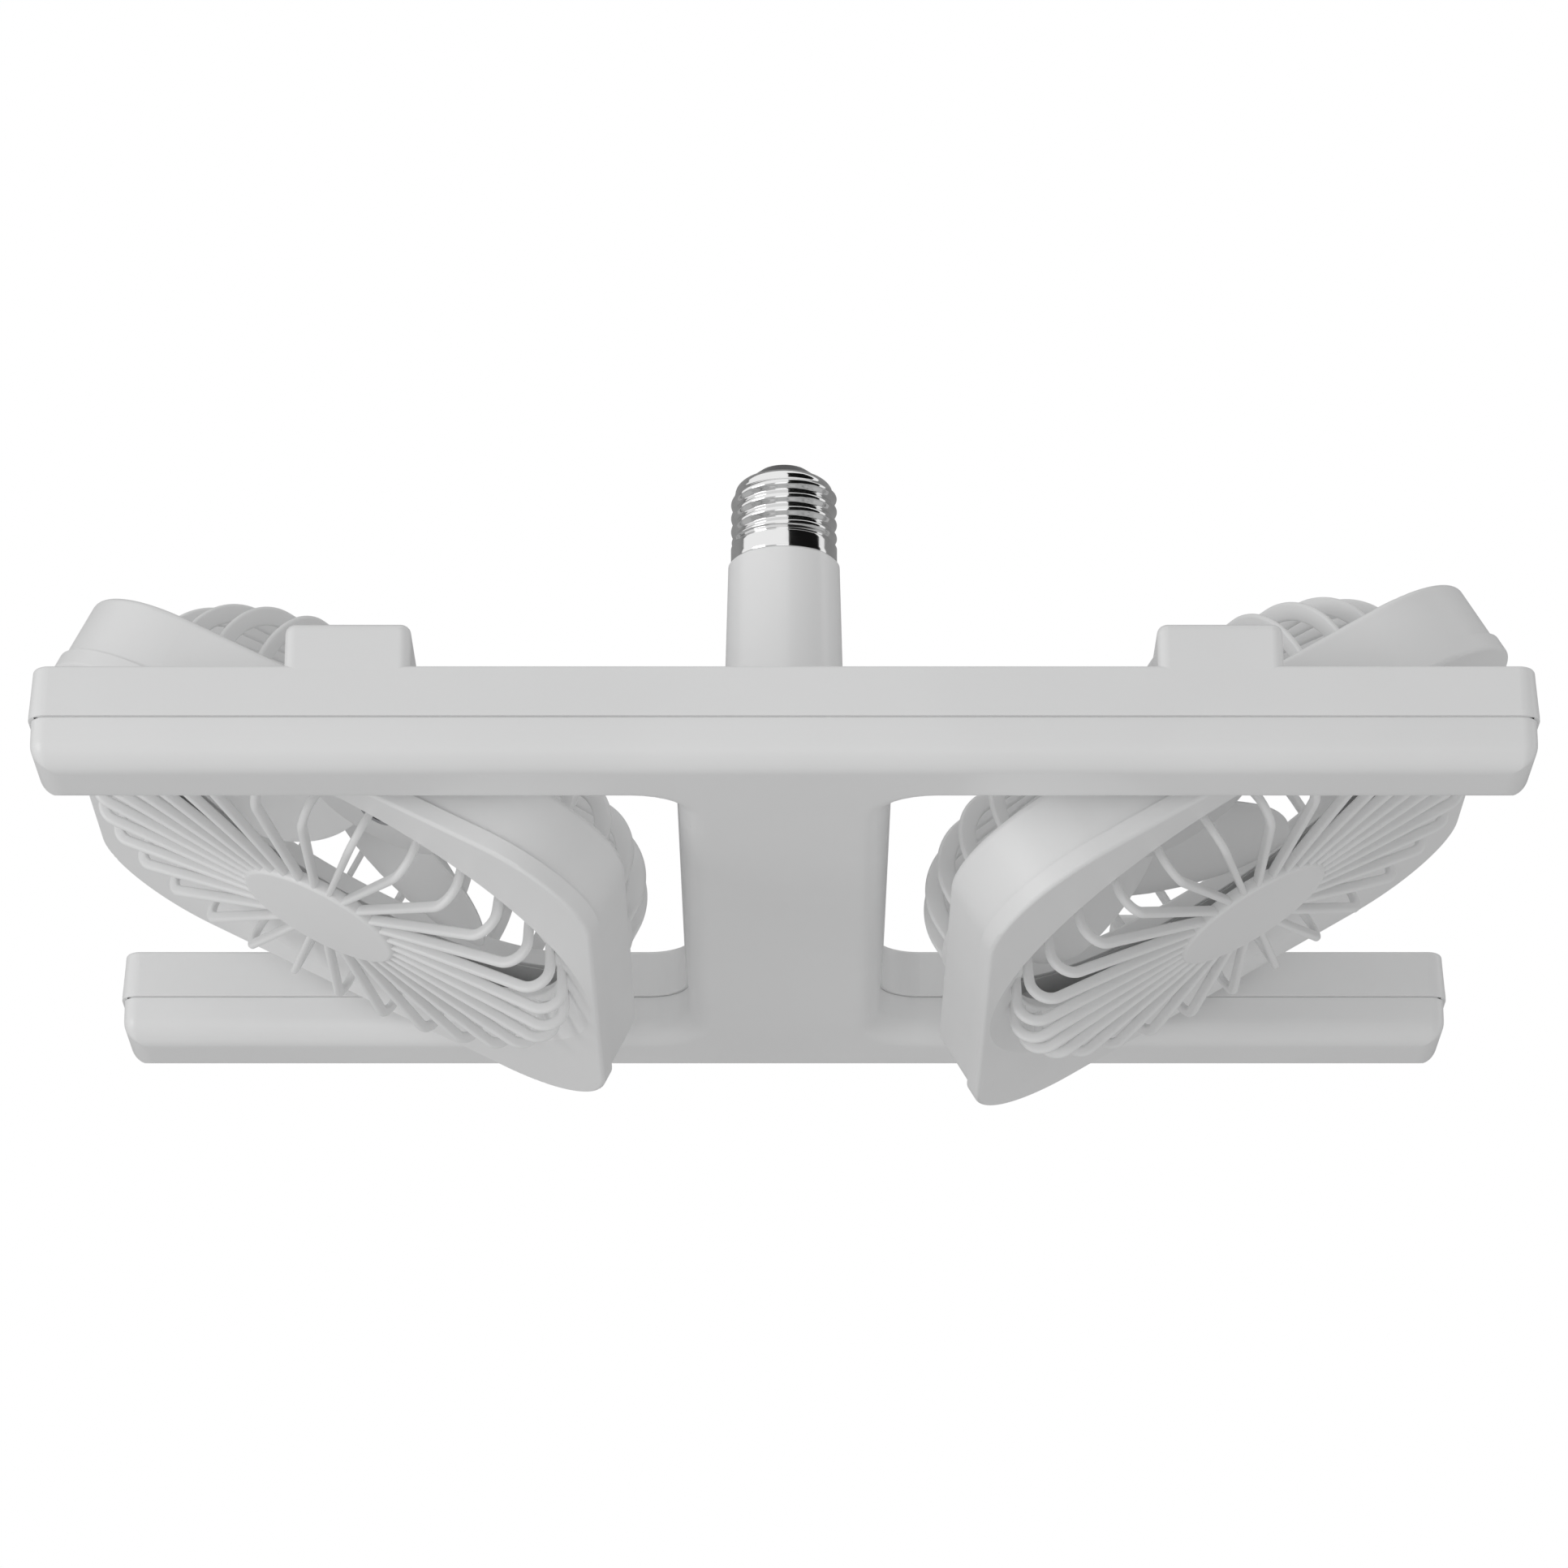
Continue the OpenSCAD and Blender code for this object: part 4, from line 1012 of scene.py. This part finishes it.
@dataclass
class BottomCover:
    """The H-shaped frame's lower cover, with the full round of its bottom edges. Millimetres."""

    length: float = 341.5
    depth: float = 222.0
    bar_w: float = 26.0
    column_w: float = 50.0
    seam_z: float = -83.6
    height: float = 11.7
    lip: float = 0.7
    wall: float = 2.0
    end_round: float = 4.5
    neck_round: float = 10.0
    bottom_round: float = 6.2
    seam_edge: float = 0.3
    rim_w: float = 1.0
    rim_h: float = 1.5
    rim_gap: float = 0.05
    boss_r: float = 4.2
    boss_hole_r: float = 1.5
    boss_hole_depth: float = 7.5
    middle_boss_x: float = 17.5

    @property
    def inner_y(self) -> float:
        """Half the clear width between the bars."""
        return self.depth / 2 - self.bar_w

    def outline(self, rows: np.ndarray) -> np.ndarray:
        """The H's outline, moved inwards and set at a height.

        The outline has 12 square corners. At an inset d a corner lies d inside both of its sides,
        and it is a quarter circle: c - s r (n1 cos a + n2 sin a) with c = corner + s r (n1 + n2),
        where n1 and n2 are the inward normals of its sides. At an outward corner s is 1 and
        r = end round - d; at an inward one s is -1 and r = neck round + d.

        Args:
            rows: Inset and height of each row (n, 2).

        Returns:
            Points (n, 12 * 9, 3).
        """
        far, front, inner, neck = self.length / 2, self.depth / 2, self.inner_y, self.column_w / 2
        half = np.array([(far, -front), (far, -inner), (neck, -inner), (neck, inner),
                         (far, inner), (far, front)])
        corner = np.concatenate([half, -half])
        side = np.roll(corner, -1, axis=0) - corner
        side /= np.linalg.norm(side, axis=1)[:, None]
        normal = np.stack([-side[:, 1], side[:, 0]], axis=-1)
        before = np.roll(normal, 1, axis=0)
        sign = np.array([1, 1, -1, -1, 1, 1] * 2)[:, None, None]
        inset = rows[:, 0][:, None, None, None]
        outward_r = np.maximum(self.end_round - inset, 0.02)
        r = np.where(sign > 0, outward_r, self.neck_round + inset)
        both = (before + normal)[:, None]
        a = np.linspace(0, np.pi / 2, 9)[:, None]
        turn = before[:, None] * np.cos(a) + normal[:, None] * np.sin(a)
        flat = corner[:, None] + inset * both + sign * r * (both - turn)
        flat = flat.reshape(len(rows), -1, 2)
        height = np.broadcast_to(rows[:, 1][:, None, None], flat.shape[:2] + (1,))
        return np.concatenate([flat, height], axis=-1)

    def section(self, r: float) -> np.ndarray:
        """One face of the wall: down the side, round a quarter circle and onto the flat bottom.

        Args:
            r: The quarter circle's radius.

        Returns:
            Inset and height of each point (n, 2).
        """
        a = np.linspace(0, np.pi / 2, 13)
        inset, z = self.lip + self.bottom_round, self.bottom_round - self.height
        side = inset - r
        return np.concatenate([[(side, -self.seam_edge), (side, -0.6), (side, z + 0.2)],
                               arc((inset, z), -r, a), [(inset + 0.4, z - r)]])

    def shell(self) -> Skin:
        """Inner face, seam edge and outer face. The open ends become the bottom's flat faces.

        Returns:
            The skin.
        """
        inner = self.section(self.bottom_round - self.wall)
        outer = self.section(self.bottom_round)
        edge = [(self.lip + self.wall - self.seam_edge, 0), (self.lip + self.seam_edge, 0)]
        return grid_skin(self.outline(np.concatenate([inner[::-1], edge, outer])))

    def rim(self) -> Skin:
        """The upstanding rim that centres the housing: a rectangle carried round the outline.

        Returns:
            The skin.
        """
        side, top = self.lip + self.wall, self.rim_h
        inner, outer = side - self.rim_w, side - self.rim_gap
        path = np.array([(inner, -1.0), (inner, top - 0.2), (inner + 0.2, top), (outer, top),
                         (outer, -1.0)])
        return grid_skin(self.outline(path), loop=True)

    def bosses(self) -> List[Skin]:
        """The screw bosses, turned from a profile with a blind hole.

        Returns:
            Four at the bars' ends and four in the column.
        """
        r, hole_r, end = self.boss_r, self.boss_hole_r, -self.boss_hole_depth
        foot = self.wall / 2 - self.height
        boss = lathe([(0.0, foot, 0), (r, foot, 0), (r, 0.0, 0.3), (hole_r, 0.0, 0.2),
                      (hole_r, end, 0), (0.0, end, 0)], 3, 40)
        places = [(self.length / 2 - 3 * r, (self.depth - self.bar_w) / 2),
                  (self.middle_boss_x, self.inner_y - 4 * r)]
        return [boss.shifted(x * i, y * j, 0.0) for x, y in places for i in (-1, 1)
                for j in (-1, 1)]

    def build(self, shop: Workshop) -> None:
        """Makes the cover."""
        skin = join([self.shell(), self.rim(), *self.bosses()]).shifted(0.0, 0.0, self.seam_z)
        shop.piece("rounded_bottom_cover", skin, "opal_cover", "frame", ["lower_cover"])


class Carcass:
    """The CAD nodes, each with its slot's finish, but for the stem, whose white is painted brighter
    than the housing's, as painted light.
    """

    own_finish: Dict[str, str] = {"stem": "stem_plastic_painted_light"}

    def __init__(self, wardrobe: Wardrobe) -> None:
        """Keeps the wardrobe."""
        self.wardrobe = wardrobe

    def dress(self) -> None:
        """Gives every CAD node its finish."""
        for part in frame["record"]["subparts"]:
            finish = self.own_finish.get(part["node"], part["material_slot"])
            self.wardrobe.dress(frame["nodes"][part["node"]], finish)


@dataclass
class SoftLamp:
    """A square area lamp that points at the object. Metres and watts."""

    name: str
    place: Point
    size: float
    power: float
    target: Point = (0.0, 0.0, -0.08)

    def build(self) -> None:
        """Adds the lamp."""
        light = bpy.data.lights.new(self.name, "AREA")
        light.shape = "SQUARE"
        light.size = self.size
        light.energy = self.power
        lamp = add_object(self.name, light)
        lamp.location = self.place
        aim = np.array(self.target) - np.array(self.place)
        flat = math.hypot(aim[0], aim[1])
        lamp.rotation_euler = (math.atan2(flat, -aim[2]), 0.0, math.atan2(-aim[0], aim[1]))


def panel(name: str, corners: Sequence[Point]) -> bpy.types.Object:
    """Adds one four-cornered face to the scene.

    Args:
        name: The name of the object and its mesh.
        corners: Its corners in metres.

    Returns:
        The object.
    """
    mesh = bpy.data.meshes.new(name)
    mesh.from_pydata(corners, [], [(0, 1, 2, 3)])
    return add_object(name, mesh)


@dataclass
class ReflectedCard:
    """An upright card that only reflections see: the bright metal mirrors it. Metres."""

    name: str
    start: Tuple[float, float]
    end: Tuple[float, float]
    heights: Tuple[float, float]
    grey: float

    def build(self) -> None:
        """Adds the card."""
        low, high = self.heights
        card = panel(self.name, [(*self.start, low), (*self.end, low), (*self.end, high),
                                 (*self.start, high)])
        for sight in ("camera", "diffuse", "transmission", "volume_scatter", "shadow"):
            setattr(card, f"visible_{sight}", False)
        kit = NodeKit(bpy.data.materials.new(self.name))
        card.data.materials.append(kit.surface({"Base Color": (self.grey,) * 3, "Roughness": 1.0,
                                                "Specular IOR Level": 0.0}))


@dataclass
class Studio:
    """Camera, lamps, cards, floor and white surroundings, in metres."""

    camera_place: Point = (0.0, -1.3019, -0.5557)
    camera_pitch: float = 110.93
    lens: float = 130.62
    sensor: float = 36.0
    surround: float = 0.57
    floor_z: float = -1.6
    floor_half: float = 7.0
    lamps: List[SoftLamp] = field(default_factory=lambda: [
        SoftLamp("lamp_left", (-2.0, -1.4, -0.4), size=1.2, power=12.0),
        SoftLamp("lamp_under", (0.0, -2.2, -1.3), size=1.4, power=5.0)])
    cards: List[ReflectedCard] = field(default_factory=lambda: [
        ReflectedCard("card_dark_right", (0.28, -1.58), (1.58, -0.22), (-1.3, 3.2), grey=0.012),
        ReflectedCard("card_grey_back", (5.0, 0.75), (-5.0, 0.75), (-1.5, 3.4), grey=0.42)])

    def camera(self) -> None:
        """Adds the photograph's camera: below the object, looking up by 20.93 degrees."""
        data = bpy.data.cameras.new("camera")
        data.sensor_width = self.sensor
        data.lens = self.lens
        data.clip_start, data.clip_end = 0.05, 60.0
        camera = add_object("camera", data)
        camera.location = self.camera_place
        camera.rotation_euler = (math.radians(self.camera_pitch), 0.0, 0.0)
        bpy.context.scene.camera = camera

    def world(self) -> None:
        """White to the camera and to reflections, and a plain even light to everything else."""
        world = bpy.data.worlds.new("surround")
        bpy.context.scene.world = world
        kit = NodeKit(world)
        rays = kit.node("ShaderNodeLightPath").outputs
        seen = Value(kit, rays["Is Camera Ray"]) + Value(kit, rays["Is Transmission Ray"])
        seen = seen + Value(kit, rays["Is Glossy Ray"])
        level = seen + (1 - seen) * self.surround
        white = {"Color": (1.0, 1.0, 1.0), "Strength": level}
        back = kit.node("ShaderNodeBackground", None, white)
        kit.node("ShaderNodeOutputWorld", None, {"Surface": back.outputs[0]})

    def floor(self) -> None:
        """A plain pale floor, well below the object; the camera looks through it."""
        half, z = self.floor_half, self.floor_z
        floor = panel("studio_floor", [(-half, -half, z), (half, -half, z), (half, half, z),
                                       (-half, half, z)])
        floor.visible_camera = False
        kit = NodeKit(bpy.data.materials.new("floor_paint"))
        colour = kit.mix(kit.noise(3.0), (0.86, 0.86, 0.86), (0.88, 0.88, 0.88))
        floor.data.materials.append(kit.surface({"Base Color": colour, "Roughness": 0.9,
                                                 "Specular IOR Level": 0.1}))

    def build(self) -> None:
        """Sets the whole studio up."""
        self.camera()
        self.world()
        self.floor()
        for thing in (*self.lamps, *self.cards):
            thing.build()
        bpy.context.scene.view_settings.view_transform = "Standard"
        log.info("studio: %d lamps, %d cards", len(self.lamps), len(self.cards))


def main() -> None:
    """Sets up the studio, dresses the frame and makes the fine pieces."""
    logging.basicConfig(level=logging.INFO, format="%(name)s: %(message)s")
    Studio().build()
    wardrobe = Wardrobe()
    Carcass(wardrobe).dress()
    shop = Workshop(wardrobe)
    ScrewCap().build(shop)
    BottomCover().build(shop)
    FanHead(Side.LEFT, tilt=26.8).build(shop)
    FanHead(Side.RIGHT, tilt=30.7).build(shop)


if __name__ == "__main__":
    main()
